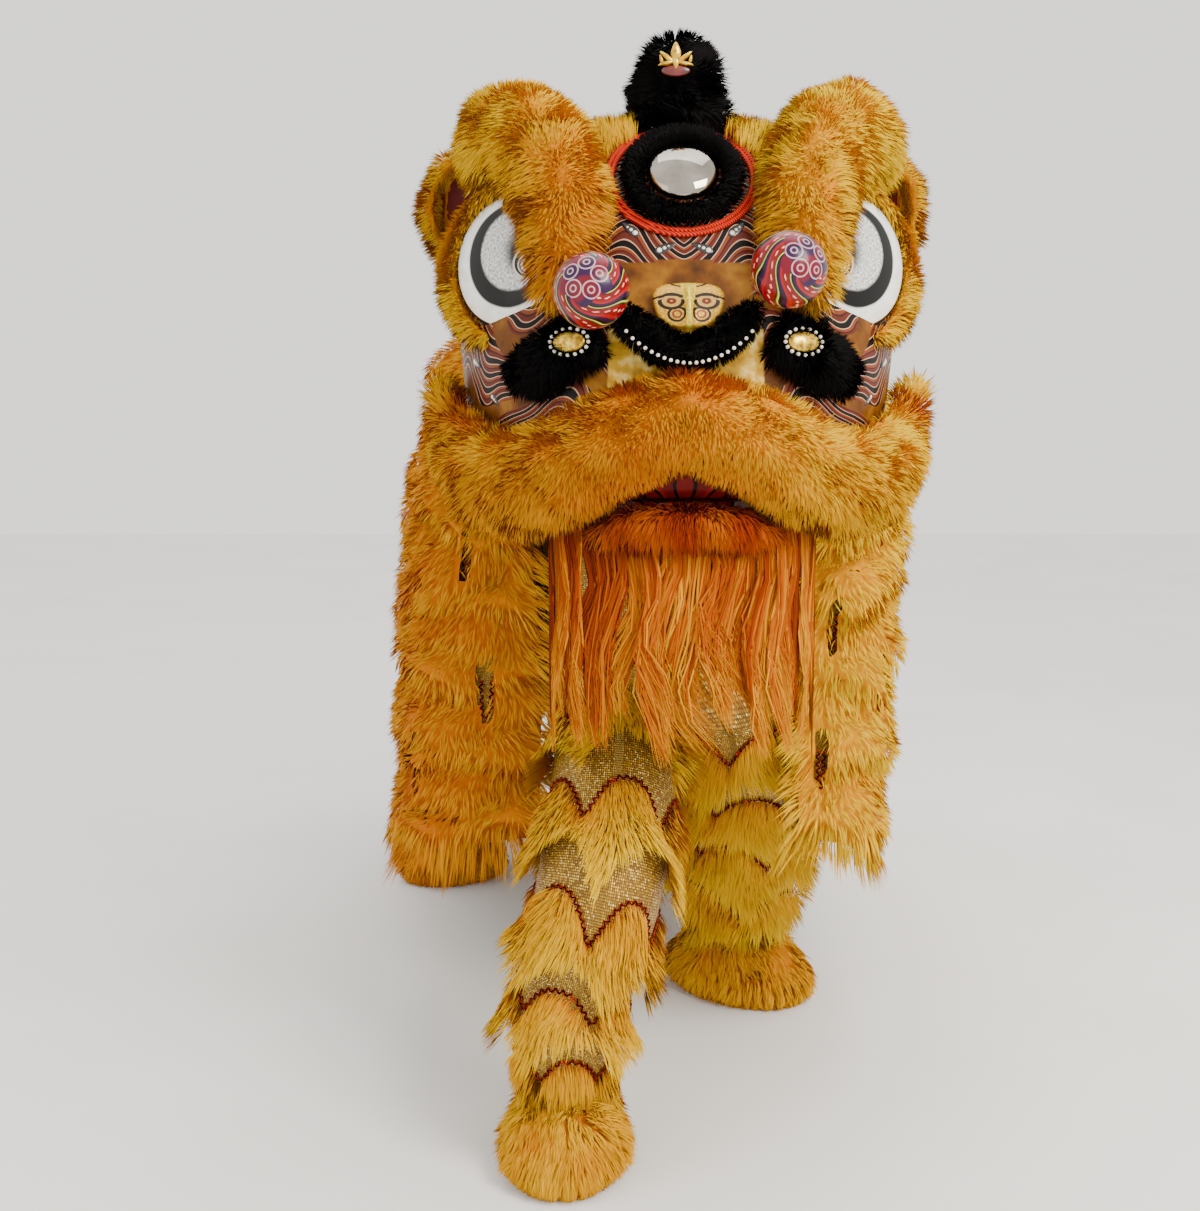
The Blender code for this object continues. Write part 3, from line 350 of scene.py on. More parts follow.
EAR_Y, EAR_Z, EAR_PIN_RADIUS = 0.055, 0.2178, 0.008
for side in (-1, 1):
    hole_path = np.linspace((side * 0.2, EAR_Y, EAR_Z), (side * 0.40, EAR_Y, EAR_Z), 2)
    hole = closed_up(shown("hole", tube_mesh("hole", hole_path, EAR_PIN_RADIUS + 0.0014, 20),
        painted_paper))
    cut = head_shell.modifiers.new("hole", "BOOLEAN")
    cut.object = hole
    apply_modifiers(head_shell)
    bpy.data.objects.remove(hole)
belongs(head_shell, "lion", "gold_shell", "head_shell")

# Painted drops on the forehead and the cheeks: a black leaf with three white dots that grow
# smaller towards its tip.
bead_white, tree, shader = material("white_enamel_dots", Roughness=0.3, Coat_Weight=0.5)
where = add(tree, "ShaderNodeTexCoord").outputs["Object"]
colour(tree, shader, ramp(tree, noise(tree, where, 180.0), [(0.3, "#CFC9B4"), (0.7, "#FFFDF2")]))
leaf_black, tree, shader = material("black_enamel", Roughness=0.28, Coat_Weight=0.5)
where = add(tree, "ShaderNodeTexCoord").outputs["Object"]
colour(tree, shader, ramp(tree, noise(tree, where, 90.0), [(0.3, "#060404"), (0.8, "#1C1210")]))


def dome_mesh(name, centre, right, up, out, width, height, depth, sides=14, rings=4, pull=0.0):
    """A low dome on a surface: rings of an ellipse that shrink towards its top, its outline
    drawn out to one side by pull."""
    turns = np.linspace(0, 2 * math.pi, sides, endpoint=False)
    share = np.cos(np.linspace(0, math.pi / 2, rings + 1))[:, None]
    lift = np.sin(np.linspace(0, math.pi / 2, rings + 1))[:, None]
    c, s = np.cos(turns)[None], np.sin(turns)[None]
    a = share * width * (c + pull * np.maximum(c, 0) ** 3)
    b = share * height * s * (1 - 0.35 * pull * np.maximum(c, 0))
    points = centre + a[..., None] * right + b[..., None] * up + (lift * depth)[..., None] * out
    under = points[:1] - out * depth * 0.6
    return grid_mesh(name, np.concatenate([np.broadcast_to(centre - out * depth * 0.6, under.shape),
        under, points]), wrap=True)


def joined(name, meshes, paint):
    """Several meshes as one piece."""
    bm = bmesh.new()
    for mesh in meshes:
        bm.from_mesh(mesh)
    made = bpy.data.meshes.new(name)
    bm.to_mesh(made)
    bm.free()
    return closed_up(shown(name, made, paint))


def shell_axes(x_at, z_at):
    """A point on the shell's front at an x and a height, and the axes right, up and out there."""
    angles = -math.pi / 2 + np.linspace(-1.5, 1.5, 1201)
    ring = shell_surface(angles, np.full(angles.shape, z_at))
    at = np.argmin(np.abs(ring[:, 0] - x_at))
    angle, step_by = angles[at], 0.004
    here = shell_surface(np.array(angle), np.array(z_at))
    across = shell_surface(np.array(angle + step_by), np.array(z_at)) - here
    upward = shell_surface(np.array(angle), np.array(z_at + step_by)) - here
    across /= np.linalg.norm(across)
    out = np.cross(across, upward)
    out /= np.linalg.norm(out)
    return here, across, np.cross(out, across), out


# x, height, turn in degrees, size
DROP_ROWS = [
    (0.028, 0.133, 155, 0.0125),
    (0.070, 0.158, 40, 0.0125),
    (0.100, 0.193, 60, 0.0100),
    (0.128, 0.150, 20, 0.0090),
    (0.225, -0.030, -60, 0.0110),
    (0.290, -0.020, 200, 0.0120),
    (0.262, -0.070, 215, 0.0100),
]
leaves, dots = [], []
for x_at, z_at, turn, size in DROP_ROWS:
    for side in (-1, 1):
        here, right, up, out = shell_axes(side * x_at, z_at)
        turned = math.radians(turn if side > 0 else 180 - turn)
        along = right * math.cos(turned) + up * math.sin(turned)
        beside = np.cross(out, along)
        leaves.append(dome_mesh("leaf", here, along, beside, out, size, size * 0.55, 0.0008, pull=0.6))
        for number, (at, share) in enumerate(((-0.45, 0.30), (0.15, 0.21), (0.65, 0.14))):
            spot = here + along * size * at + out * 0.0005
            dots.append(dome_mesh("dot", spot, along, beside, out, size * share, size * share, 0.0012,
                10, 3))
belongs(joined("drop_leaves", leaves, leaf_black), "lion", "gold_shell")
belongs(joined("drop_dots", dots, bead_white), "lion", "gold_shell")

# Fur. Every fur piece is a soft skin under thousands of fine strands. A strand is a narrow
# ribbon that tapers to its tip, leans with the pile, droops, and gathers with its neighbours
# into small locks. Its map holds its shade in u and the way from root to tip in v.


def fur_material(name, stops, root, roughness=0.75):
    """Fur colours by shade from deep to bright, darker at the roots: their own tone and painted shade."""
    made, tree, shader = material(name, Roughness=roughness, Specular_IOR_Level=0.06)
    u, v = add(tree, "ShaderNodeSeparateXYZ", {0: add(tree, "ShaderNodeUVMap").outputs[0]}).outputs[:2]
    tint = ramp(tree, u, stops)
    # Painted shade deep in the pile, with the roots' own deeper tone: the tint times the root colour.
    dark = add(tree, "ShaderNodeMix", {0: 1.0, 6: tint, 7: srgb(root)}, data_type="RGBA",
        blend_type="MULTIPLY")
    colour(tree, shader, mix(tree, step(tree, v, 0.0, 0.6), dark.outputs[2], tint))
    return made


YELLOW = [(0.0, "#9C3E00"), (0.3, "#BE6E00"), (0.55, "#D09200"), (0.8, "#DCAE00"), (1.0, "#E4C400")]
yellow_fur = fur_material("yellow_fur", YELLOW, "#F6C070")
ORANGE = [(0.0, "#701800"), (0.35, "#923000"), (0.7, "#B05200"), (1.0, "#C67800")]
orange_fur = fur_material("orange_fur", ORANGE, "#C87850")
BLACK = [(0.0, "#020202"), (0.6, "#0A0707"), (1.0, "#1C1513")]
black_fur = fur_material("black_fur", BLACK, "#606060", 0.6)


def soft_skin(node, voxel, inset, smoothing=12):
    """A node's form with its facets worn round, drawn in along its normals by the depth of the
    fur: its points, triangles and normals."""
    copy = bpy.data.objects.new("skin", node.data.copy())
    bpy.context.scene.collection.objects.link(copy)
    bm = bmesh.new()
    bm.from_mesh(copy.data)
    bmesh.ops.remove_doubles(bm, verts=bm.verts, dist=0.00002)
    bm.to_mesh(copy.data)
    bm.free()
    voxels = copy.modifiers.new("voxels", "REMESH")
    voxels.mode = "VOXEL"
    voxels.voxel_size = voxel
    worn = copy.modifiers.new("worn", "SMOOTH")
    worn.iterations = smoothing
    apply_modifiers(copy)
    mesh = copy.data
    mesh.calc_loop_triangles()
    points = np.empty(len(mesh.vertices) * 3, np.float32)
    mesh.vertices.foreach_get("co", points)
    normals = np.empty(len(mesh.vertices) * 3, np.float32)
    mesh.vertex_normals.foreach_get("vector", normals)
    faces = np.empty(len(mesh.loop_triangles) * 3, np.int32)
    mesh.loop_triangles.foreach_get("vertices", faces)
    bpy.data.objects.remove(copy)
    points = points.reshape(-1, 3).astype(float)
    normals = normals.reshape(-1, 3).astype(float)
    return points - normals * inset, faces.reshape(-1, 3), normals


def scatter(points, faces, values, count, seed):
    """Places spread over triangles by their area: each place, and the values of its corners
    weighed by its place between them."""
    draw = np.random.default_rng(seed)
    corners = points[faces]
    areas = np.linalg.norm(np.cross(corners[:, 1] - corners[:, 0], corners[:, 2] - corners[:, 0]), axis=1)
    along = (np.arange(count) + draw.random(count)) / count * areas.sum()
    chosen = np.minimum(np.searchsorted(np.cumsum(areas), along), len(faces) - 1)
    u, v = np.sqrt(draw.random(count)), draw.random(count)
    weights = np.stack([1 - u, u * (1 - v), u * v], 1)[..., None]
    spots = (corners[chosen] * weights).sum(1)
    return spots, (values[faces[chosen]] * weights).sum(1)


def unit(vectors):
    """Each vector over its own length."""
    return vectors / np.maximum(np.linalg.norm(vectors, axis=-1, keepdims=True), 1e-9)


def wander(points, size, seed):
    """A smooth direction at each point: the mean of six sines along random lines, each with
    the wave length given by size."""
    draw = np.random.default_rng(seed)
    lines = unit(draw.normal(size=(6, 3)))
    phases = draw.uniform(0, 2 * math.pi, (6, 3))
    waves = np.sin(2 * math.pi * (points @ lines.T)[:, :, None] / size + phases)
    return waves.mean(1) * 1.6


def strands(name, roots, outs, ways, lengths, width, shades, fur, seed, cell=0.014, clump=0.5, droop=0.15):
    """Strands, each a thin leaf of two triangles: root, two points at the middle and the tip.
    A strand runs along its way, falls by its droop times the square of the share of its length,
    and its tip moves by clump towards the mean tip of its cell."""
    draw = np.random.default_rng(seed)
    count = len(roots)
    ways = unit(ways)
    share = np.array([0.0, 0.5, 1.0])[None, :, None]
    fall = np.array([0, 0, -droop])[None, None] * share**2
    line = roots[:, None] + (ways[:, None] * share + fall) * lengths[:, None, None]
    tips = line[:, -1]
    keys = np.floor((roots + wander(roots, 6 * cell, seed) * cell * 0.6) / cell).astype(int)
    _, inverse = np.unique(keys, axis=0, return_inverse=True)
    inverse = inverse.reshape(-1)
    sizes = np.bincount(inverse)
    mean_tip = np.stack([np.bincount(inverse, tips[:, i]) / sizes for i in range(3)], 1)[inverse]
    lock = draw.uniform(0.4, 1.3, len(sizes))[inverse][:, None]
    line = line + ((mean_tip - tips) * clump * lock)[:, None] * share**1.6
    shades = np.clip(shades + (draw.random(len(sizes))[inverse] - 0.5) * 0.07, 0.01, 0.99)
    shades = np.clip(shades + draw.normal(size=count) * 0.035, 0.01, 0.99)
    side = unit(np.cross(ways, outs))
    flat = unit(np.cross(side, ways))
    turn = draw.uniform(-0.9, 0.9, count)[:, None]
    half = (side * np.cos(turn) + flat * np.sin(turn)) * (width * draw.uniform(0.35, 0.65, count))[:, None]
    points = np.stack([line[:, 0], line[:, 1] - half, line[:, 1] + half, line[:, 2]], 1)
    corner = ((np.arange(count) * 4)[:, None] + np.array([0, 2, 1, 1, 2, 3])[None]).reshape(-1)
    mesh = bpy.data.meshes.new(name)
    mesh.vertices.add(count * 4)
    mesh.vertices.foreach_set("co", points.reshape(-1).astype(np.float32))
    mesh.loops.add(len(corner))
    mesh.loops.foreach_set("vertex_index", corner.astype(np.int32))
    mesh.polygons.add(count * 2)
    mesh.polygons.foreach_set("loop_start", np.arange(0, len(corner), 3, dtype=np.int32))
    mesh.polygons.foreach_set("use_smooth", np.ones(count * 2, bool))
    mesh.update(calc_edges=True)
    uv = np.empty((count, 4, 2), np.float32)
    uv[:, :, 0] = shades[:, None]
    uv[:, :, 1] = (0.0, 0.5, 0.5, 1.0)
    layer = mesh.uv_layers.new(name="UVMap")
    layer.data.foreach_set("uv", uv.reshape(-1, 2)[corner].reshape(-1))
    soft = np.repeat(unit(outs + flat * 0.15 + draw.normal(size=outs.shape) * 0.07), 4, 0)
    mesh.normals_split_custom_set_from_vertices(soft.astype(np.float32))
    return shown(name, mesh, fur)


def skin_piece(name, points, faces, fur, shade, depth=0.3):
    """The plush under the strands, in the colour of their roots: one shade, or one a point."""
    mesh = bpy.data.meshes.new(name)
    mesh.from_pydata(points.tolist(), [], faces.tolist())
    mesh.polygons.foreach_set("use_smooth", np.ones(len(faces), bool))
    shades = np.broadcast_to(shade, len(points))
    uv = np.stack([shades[faces.reshape(-1)], np.full(faces.size, depth)], 1)
    mesh.uv_layers.new(name="UVMap").data.foreach_set("uv", uv.reshape(-1).astype(np.float32))
    return shown(name, mesh, fur)


def fur_roll(
    name, body, slot, fur, count, length, shade_of, way_of, seed,
    voxel=0.008, inset=0.5, width=0.0019, stray=0.30, on_shell=True, bare=None, long_of=None, **form
):
    """Fur over a node: its skin, and strands wherever the skin doesn't look into the shell and
    isn't bare."""
    inset = inset * length
    points, faces, normals = soft_skin(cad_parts[name], voxel, inset)
    roots, outs = scatter(points, faces, normals, count, seed)
    outs = unit(outs)
    keep = np.ones(len(roots), bool)
    if on_shell:
        keep &= shell_level(roots + outs * (inset + 0.004)) > 1.0
    if bare:
        keep &= ~bare(roots)
    roots, outs = roots[keep], outs[keep]
    draw = np.random.default_rng(seed + 1)
    ways = unit(way_of(roots, outs) + wander(roots, 0.06, seed) * stray)
    ways = unit(ways + draw.normal(size=roots.shape) * 0.12)
    lengths = length * draw.uniform(0.6, 1.15, len(roots))
    if long_of:
        lengths = lengths * long_of(roots)
    pile = strands(name + "_pile", roots, outs, ways, lengths, width, shade_of(roots), fur, seed, **form)
    # The skin's shade is 0.05 lower than the strands': painted shade under the pile.
    skin = skin_piece(name + "_skin", points, faces, fur, np.clip(shade_of(points) - 0.05, 0, 1))
    belongs(pile, body, slot)
    belongs(skin, body, slot, name)
    return pile, skin


def outward_fur(down=0.25, lift=1.0):
    """Fur that stands off its skin and leans down."""
    return lambda roots, outs: outs * lift + np.array([0.0, 0.0, -down])


# Upper lip: a stuffed roll of deep yellow fur from cheek to cheek; the orange below the nose is a painted
# shadow.

RIGHT, UP, FRONT = np.array([1.0, 0, 0]), np.array([0, 0, 1.0]), np.array([0, -1.0, 0])


def lip_shade(p):
    """Bright at the cheeks; painted shade deeper to the middle, the lower side and the lion's right."""
    middle = np.exp(-(((p[:, 0] + 0.03) / 0.15) ** 2))
    low = np.clip((-0.08 - p[:, 2]) / 0.12, 0, 1)
    away = np.clip(-p[:, 0] / 0.35, -1, 1)
    hollow = np.exp(-(((np.abs(p[:, 0] - 0.012) - 0.323) / 0.020) ** 2) - ((p[:, 2] + 0.088) / 0.020) ** 2)
    # Painted shade: middle under the nose, low along the underside, away on the lion's right.
    return 0.78 - 0.6 * hollow - 0.34 * middle - 0.20 * low - 0.10 * away + wander(p, 0.11, 5)[:, 0] * 0.05


def lip_length(p):
    """Shorter in the middle of the lower side, over the mouth, and longer at the corners."""
    corner = np.clip((np.abs(p[:, 0]) - 0.31) / 0.05, 0, 1) * np.clip((p[:, 2] + 0.11) / 0.03, 0, 1)
    return 1 + 0.7 * corner - 0.5 * np.exp(-((p[:, 0] / 0.14) ** 2)) * np.clip((-0.11 - p[:, 2]) / 0.04,
        0, 1)


def lip_way(roots, outs):
    """Out and down, but up at the two corners."""
    corner = np.clip((np.abs(roots[:, 0]) - 0.31) / 0.05, 0, 1) * np.clip((roots[:, 2] + 0.11) / 0.03, 0, 1)
    return outs + UP * (corner * 1.3 - 0.35)[:, None]


pile, pad = fur_roll("lip_roll", "lion", "yellow_fur", yellow_fur, 46500, 0.023, lip_shade, lip_way, 11,
    cell=0.009, clump=0.22, voxel=0.010, long_of=lip_length)

# Mirror: a polished dome on the forehead in a ring of black fur, with a double red braid.
MIRROR_HEIGHT, MIRROR_RADIUS, MIRROR_FUR_ROLL = 0.70 * CROWN, 0.045, 0.024
mirror_at, mirror_right, mirror_up, mirror_out = shell_axes(0.0, MIRROR_HEIGHT)
mirror_glass, tree, shader = material("mirror_dome", Metallic=1.0, Roughness=0.04)
where = add(tree, "ShaderNodeTexCoord").outputs["Object"]
colour(tree, shader, ramp(tree, noise(tree, where, 30.0), [(0.3, "#8B837A"), (0.7, "#B4ADA2")]))
mirror = shown(
    "mirror_dome",
    dome_mesh(
        "mirror_dome",
        mirror_at + mirror_out * 0.60 * MIRROR_FUR_ROLL,
        mirror_right,
        mirror_up,
        mirror_out,
        1.10 * MIRROR_RADIUS,
        1.10 * MIRROR_RADIUS,
        0.4 * MIRROR_RADIUS,
        48,
        14,
    ),
    mirror_glass,
)
belongs(closed_up(mirror), "lion", "mirror_glass", "mirror")


def flat_shade(value, spread=0.2, size=0.05, seed=3):
    """One shade, with a smooth wander of the given spread and wave length added."""
    return lambda p: value + wander(p, size, seed)[:, 0] * spread


def away_from_mirror(roots, outs):
    """Out of the skin, plus 1.1 times the direction away from the mirror's middle."""
    return outs + unit(roots - mirror_at) * 1.1


fur_roll(
    "mirror_fur", "lion", "black_fur", black_fur, 8000, 0.015, flat_shade(0.35), away_from_mirror, 21,
    voxel=0.005, clump=0.3, cell=0.009, inset=0.6
)
red_braid, tree, shader = material("red_braid", Roughness=0.5, Specular_IOR_Level=0.2)
where = add(tree, "ShaderNodeTexCoord").outputs["Object"]
# The twist's grooves are painted darker, as shade, along the same wave as its bump.
twist = add(tree, "ShaderNodeTexWave", {"Vector": where, "Scale": 110.0, "Distortion": 1.0},
    bands_direction="DIAGONAL").outputs[0]
colour(tree, shader, ramp(tree, twist, [(0.1, "#860A00"), (0.6, "#C41A00"), (1.0, "#E23600")]))
bump(tree, shader, twist, 0.0012, 0.7)
cords = []
for radius, lift in ((2.16, 0.001), (2.46, 0.0)):
    turns = np.linspace(0, 2 * math.pi, 97)
    reach = MIRROR_RADIUS + radius * MIRROR_FUR_ROLL
    circle = mirror_at + np.outer(np.cos(turns), mirror_right) * reach + np.outer(np.sin(turns),
        mirror_up) * reach
    fitted = []
    for point in circle:
        here, _, _, out = shell_axes(point[0], min(point[2], 0.93 * CROWN))
        fitted.append(here + out * (0.003 + lift))
    cords.append(tube_mesh("cord", fitted, 0.0038, 8, ends=False))
belongs(joined("forehead_braid", cords, red_braid), "lion", "red_braid", "mirror_braid")

# Horn: a knob of black fur over a collar, with a gilt leaf of three lobes on its front.
HORN_RADIUS = 0.062
HORN_FOOT = np.array([0, -0.36 * HEAD_HALF, 0.90 * CROWN])
fur_roll(
    "horn", "lion", "black_fur", black_fur, 11500, 0.030, flat_shade(0.4), lambda p, outs: outs * (1.0,
        1.0, 0.7), 31,
    long_of=lambda p: 1 + 0.35 * np.exp(-(((p[:, 2] - 0.375) / 0.03) ** 2)), stray=0.8, on_shell=False,
        clump=0.45, cell=0.011, inset=0.35, width=0.0016
)
gilt, tree, shader = material("gilt_foil", Metallic=0.75, Roughness=0.3)
where = add(tree, "ShaderNodeTexCoord").outputs["Object"]
crumple = noise(tree, where, 120.0, 4.0)
colour(tree, shader, ramp(tree, crumple, [(0.3, "#A8741B"), (0.55, "#E2BC3E"), (0.8, "#FFEE8C")]))
bump(tree, shader, crumple, 0.001, 0.6)
red_enamel, tree, shader = material("red_enamel", Roughness=0.35, Coat_Weight=0.5)
where = add(tree, "ShaderNodeTexCoord").outputs["Object"]
colour(tree, shader, ramp(tree, noise(tree, where, 70.0), [(0.3, "#3C0806"), (0.8, "#7E1A10")]))
leaf_at = HORN_FOOT + np.array([-0.008, -1.32 * HORN_RADIUS, 1.62 * HORN_RADIUS])
# across, up, turn in degrees, length, width, bend
FOIL_LOBES = [
    (0.0, 0.010, 90, 0.0105, 0.0075, 0.5),
    (0.0, -0.002, 270, 0.0070, 0.0050, 0.6),
    (0.011, 0.004, 38, 0.0105, 0.0036, 0.4),
    (0.012, -0.003, -12, 0.0095, 0.0032, 0.4),
    (0.020, 0.001, 75, 0.0060, 0.0026, 0.3),
]
lobes = []
for across, up_by, turn, long, wide, pull in FOIL_LOBES:
    for side in (-1, 1) if across else (1,):
        turned = math.radians(turn if side > 0 else 180 - turn)
        along = RIGHT * math.cos(turned) + UP * math.sin(turned)
        beside = np.cross(FRONT, along)
        at = leaf_at + RIGHT * side * across + UP * up_by
        lobes.append(dome_mesh("lobe", at, along, beside, FRONT, long, wide, 0.004, 14, 4, pull))
belongs(joined("horn_lobes", lobes, gilt), "lion", "gold_foil", "horn_leaf")
chin = dome_mesh("chin", leaf_at - UP * 0.013 - FRONT * 0.001, RIGHT, UP, FRONT, 0.020, 0.008, 0.003, 20, 4)
belongs(closed_up(shown("horn_leaf_backing", chin, red_enamel)), "lion", "gold_foil")

# Nose: black fur in a shallow V, edged with white beads, under a gilt mask; and a wing of
# black fur on each cheek with a gilt oval in a ring of white beads.


def under_mask(p):
    """Places behind the nose mask: within 40 mm of its middle and above its lower edge."""
    return (np.abs(p[:, 0] - 0.004) < 0.040) & (p[:, 2] > 0.022)


fur_roll(
    "nose_fur", "lion", "black_fur", black_fur, 7500, 0.016, flat_shade(0.3), outward_fur(0.35), 41,
    voxel=0.007, inset=1.0, clump=0.35, bare=under_mask
)
NOSE_MASK_HEIGHT = 0.14 * CROWN
mask_at, mask_right, mask_up, mask_out = shell_axes(0.0, NOSE_MASK_HEIGHT)
mask_paint, tree, shader = material("painted_gilt", Metallic=0.35, Roughness=0.35)
a, b = add(tree, "ShaderNodeSeparateXYZ", {0: add(tree, "ShaderNodeUVMap").outputs[0]}).outputs[:2]
a = maths(tree, "ABSOLUTE", a)
flat = add(tree, "ShaderNodeCombineXYZ", {0: a, 1: b}).outputs[0]
grain = noise(tree, flat, 14.0)
mask_colour = ramp(tree, grain, [(0.3, "#A8740C"), (0.55, "#D9A419"), (0.75, "#FFE04A")])
# centre across and up, radius, half thickness, colour: arcs painted from the back to the front
MASK_ARCS = [
    (0.50, 0.05, 0.33, 0.070, "#1C0A06"),
    (0.50, 0.05, 0.20, 0.040, "#C89A4C"),
    (0.50, 0.05, 0.09, 0.060, "#6A2418"),
    (0.62, -0.62, 0.95, 0.050, "#1C0A06"),
    (0.62, -0.62, 0.84, 0.035, "#C89A4C"),
    (0.40, -0.52, 0.26, 0.045, "#1C0A06"),
    (0.40, -0.52, 0.13, 0.035, "#7A3020"),
    (0.02, 1.25, 0.52, 0.045, "#1C0A06"),
]
for mid_a, mid_b, radius, half, code in MASK_ARCS:
    away = add(tree, "ShaderNodeVectorMath", {0: flat, 1: (mid_a, mid_b, 0)},
        operation="DISTANCE").outputs["Value"]
    off = maths(tree, "ABSOLUTE", maths(tree, "SUBTRACT", away, radius))
    mask_colour = mix(tree, step(tree, off, half, half * 0.75), mask_colour, srgb(code))
ridge = ramp(tree, grain, [(0.3, "#D9A60E"), (0.7, "#FFF25A")])
off_ridge = step(tree, maths(tree, "ADD", a, maths(tree, "MULTIPLY", b, -0.06)), 0.13, 0.16)
colour(tree, shader, mix(tree, off_ridge, ridge, mask_colour))
bump(tree, shader, grain, 0.0006)
mask_turns = np.linspace(0, 2 * math.pi, 61)[:-1]
corner_pull = (np.abs(np.cos(mask_turns)) ** 3 + np.abs(np.sin(mask_turns)) ** 3) ** (1 / 3)
taper = 1 + 0.16 * np.sin(mask_turns)
mask_at = mask_at + mask_up * 0.002 + mask_right * 0.004
mask_rings, mask_uv = [], []
for share in (0.0, 0.1, 0.2, 0.3, 0.42, 0.54, 0.66, 0.8, 0.92, 1.0):
    u, v = share * np.cos(mask_turns) / corner_pull, share * np.sin(mask_turns) / corner_pull
    x, z = 0.046 * u * taper, 0.036 * v
    lift = 0.014 + 0.008 * (1 - share**2) + 0.009 * np.exp(-((x / 0.006) ** 2)) * (1 - share**2)
    mask_rings.append(mask_at + np.outer(x, mask_right) + np.outer(z, mask_up) + np.outer(lift, mask_out))
    mask_uv.append(np.stack([u, v], -1))
mask_rings.append(mask_rings[-1] - mask_out * 0.012)
mask_rings.append(np.repeat((mask_at + mask_out * 0.002)[None], 60, 0))
mask_uv += [mask_uv[-1], mask_uv[-1] * 0]
nose_mask = shown("nose_mask", grid_mesh("nose_mask", np.array(mask_rings), wrap=True,
    uv=np.array(mask_uv)), mask_paint)
belongs(closed_up(nose_mask), "lion", "gold_foil", "nose_leaf")
trim = []
for across in np.linspace(-0.082, 0.082, 21):
    drop = 0.020 - 0.041 * np.cos(across / 0.082 * math.pi / 2) ** 0.8
    bead_y = -0.437 + 3.2 * across**2
    spot = np.array([across + 0.002, bead_y, drop])
    trim.append(dome_mesh("bead", spot, RIGHT, UP, FRONT, 0.0026, 0.0026, 0.0024, 8, 3))
belongs(joined("nose_trim", trim, bead_white), "lion", "gold_foil")
for side, word in ((-1, "right"), (1, "left")):
    fur_roll(
        f"cheek_fur_{word}", "lion", "black_fur", black_fur, 8500, 0.021, flat_shade(0.35),
            outward_fur(0.25), 43 + side,
        voxel=0.007, clump=0.35, cell=0.010
    )
    low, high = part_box(f"cheek_button_{word}")
    middle = (np.array(low) + np.array(high)) / 2
    out = unit(np.array([side * 0.35, -0.85, 0.25]))
    right = unit(np.cross(UP, out)) * -1
    up = np.cross(right, out) * -1
    right = unit(np.cross(up, out))
    middle = middle - RIGHT * side * 0.010
    plate = dome_mesh("plate", middle, right, up, out, 0.023, 0.0135, 0.006, 28, 6)
    belongs(closed_up(shown(f"cheek_oval_{word}", plate, gilt)), "lion", "gold_foil",
        f"cheek_button_{word}")
    beads = []
    for turn in np.linspace(0, 2 * math.pi, 17)[:-1]:
        spot = middle + right * 0.0275 * math.cos(turn) + up * 0.0180 * math.sin(turn)
        beads.append(dome_mesh("bead", spot, right, up, out, 0.0026, 0.0026, 0.0026, 8, 3))
    belongs(joined(f"cheek_beads_{word}", beads, bead_white), "lion", "gold_foil")

# Eyes: lacquered domes painted in nested white and black bands that close in on a gilt pupil,
# each in a roll of yellow fur.
EYE_RADIUS, EYE_BULGE, EYE_SOCKET = 0.098, 0.030, 0.030
EYE_ACROSS, EYE_UP, EYE_TURN = 0.73, 0.36, math.radians(36)
eye_paint, tree, shader = material("eye_lacquer", Roughness=0.3, Coat_Weight=0.12, Coat_Roughness=0.1,
    Specular_IOR_Level=0.25)
flat = add(tree, "ShaderNodeUVMap").outputs[0]
smoke = noise(tree, flat, 3.0, 4.0)
brushed = ramp(tree, noise(tree, flat, 26.0, 5.0), [(0.3, "#7E7E7E"), (0.65, "#E4E4E2")])
white = ramp(tree, noise(tree, flat, 5.0), [(0.2, "#D9D7CE"), (0.8, "#FFFEFA")])
# centre x and y and radius as shares of the eye's radius, softness, colour inside
EYE_BANDS = [
    (-0.02, 0.00, 0.920, 0.01, white),
    (-0.14, 0.05, 0.740, 0.02, srgb("#050404")),
    (-0.22, 0.12, 0.570, 0.03, brushed),
    (-0.42, 0.10, 0.300, 0.12, srgb("#050404")),
    (-0.46, -0.08, 0.210, 0.02, srgb("#D8D6CC")),
    (-0.46, -0.08, 0.185, 0.01, srgb("#050404")),
    (-0.47, -0.10, 0.140, 0.01, srgb("#D8D6CC")),
    (-0.47, -0.10, 0.120, 0.01, srgb("#050404")),
    (-0.47, -0.11, 0.090, 0.01, white),
    (-0.47, -0.11, 0.060, 0.01, srgb("#B88A22")),
]
eye_colour = srgb("#0A0908")
for mid_x, mid_y, radius, soft, inside in EYE_BANDS:
    away = add(tree, "ShaderNodeVectorMath", {0: flat, 1: (mid_x, mid_y, 0)},
        operation="DISTANCE").outputs["Value"]
    away = maths(tree, "ADD", away, maths(tree, "MULTIPLY", maths(tree, "SUBTRACT", smoke, 0.5), soft))
    eye_colour = mix(tree, step(tree, away, radius + soft, radius - soft), eye_colour, inside)
colour(tree, shader, eye_colour)
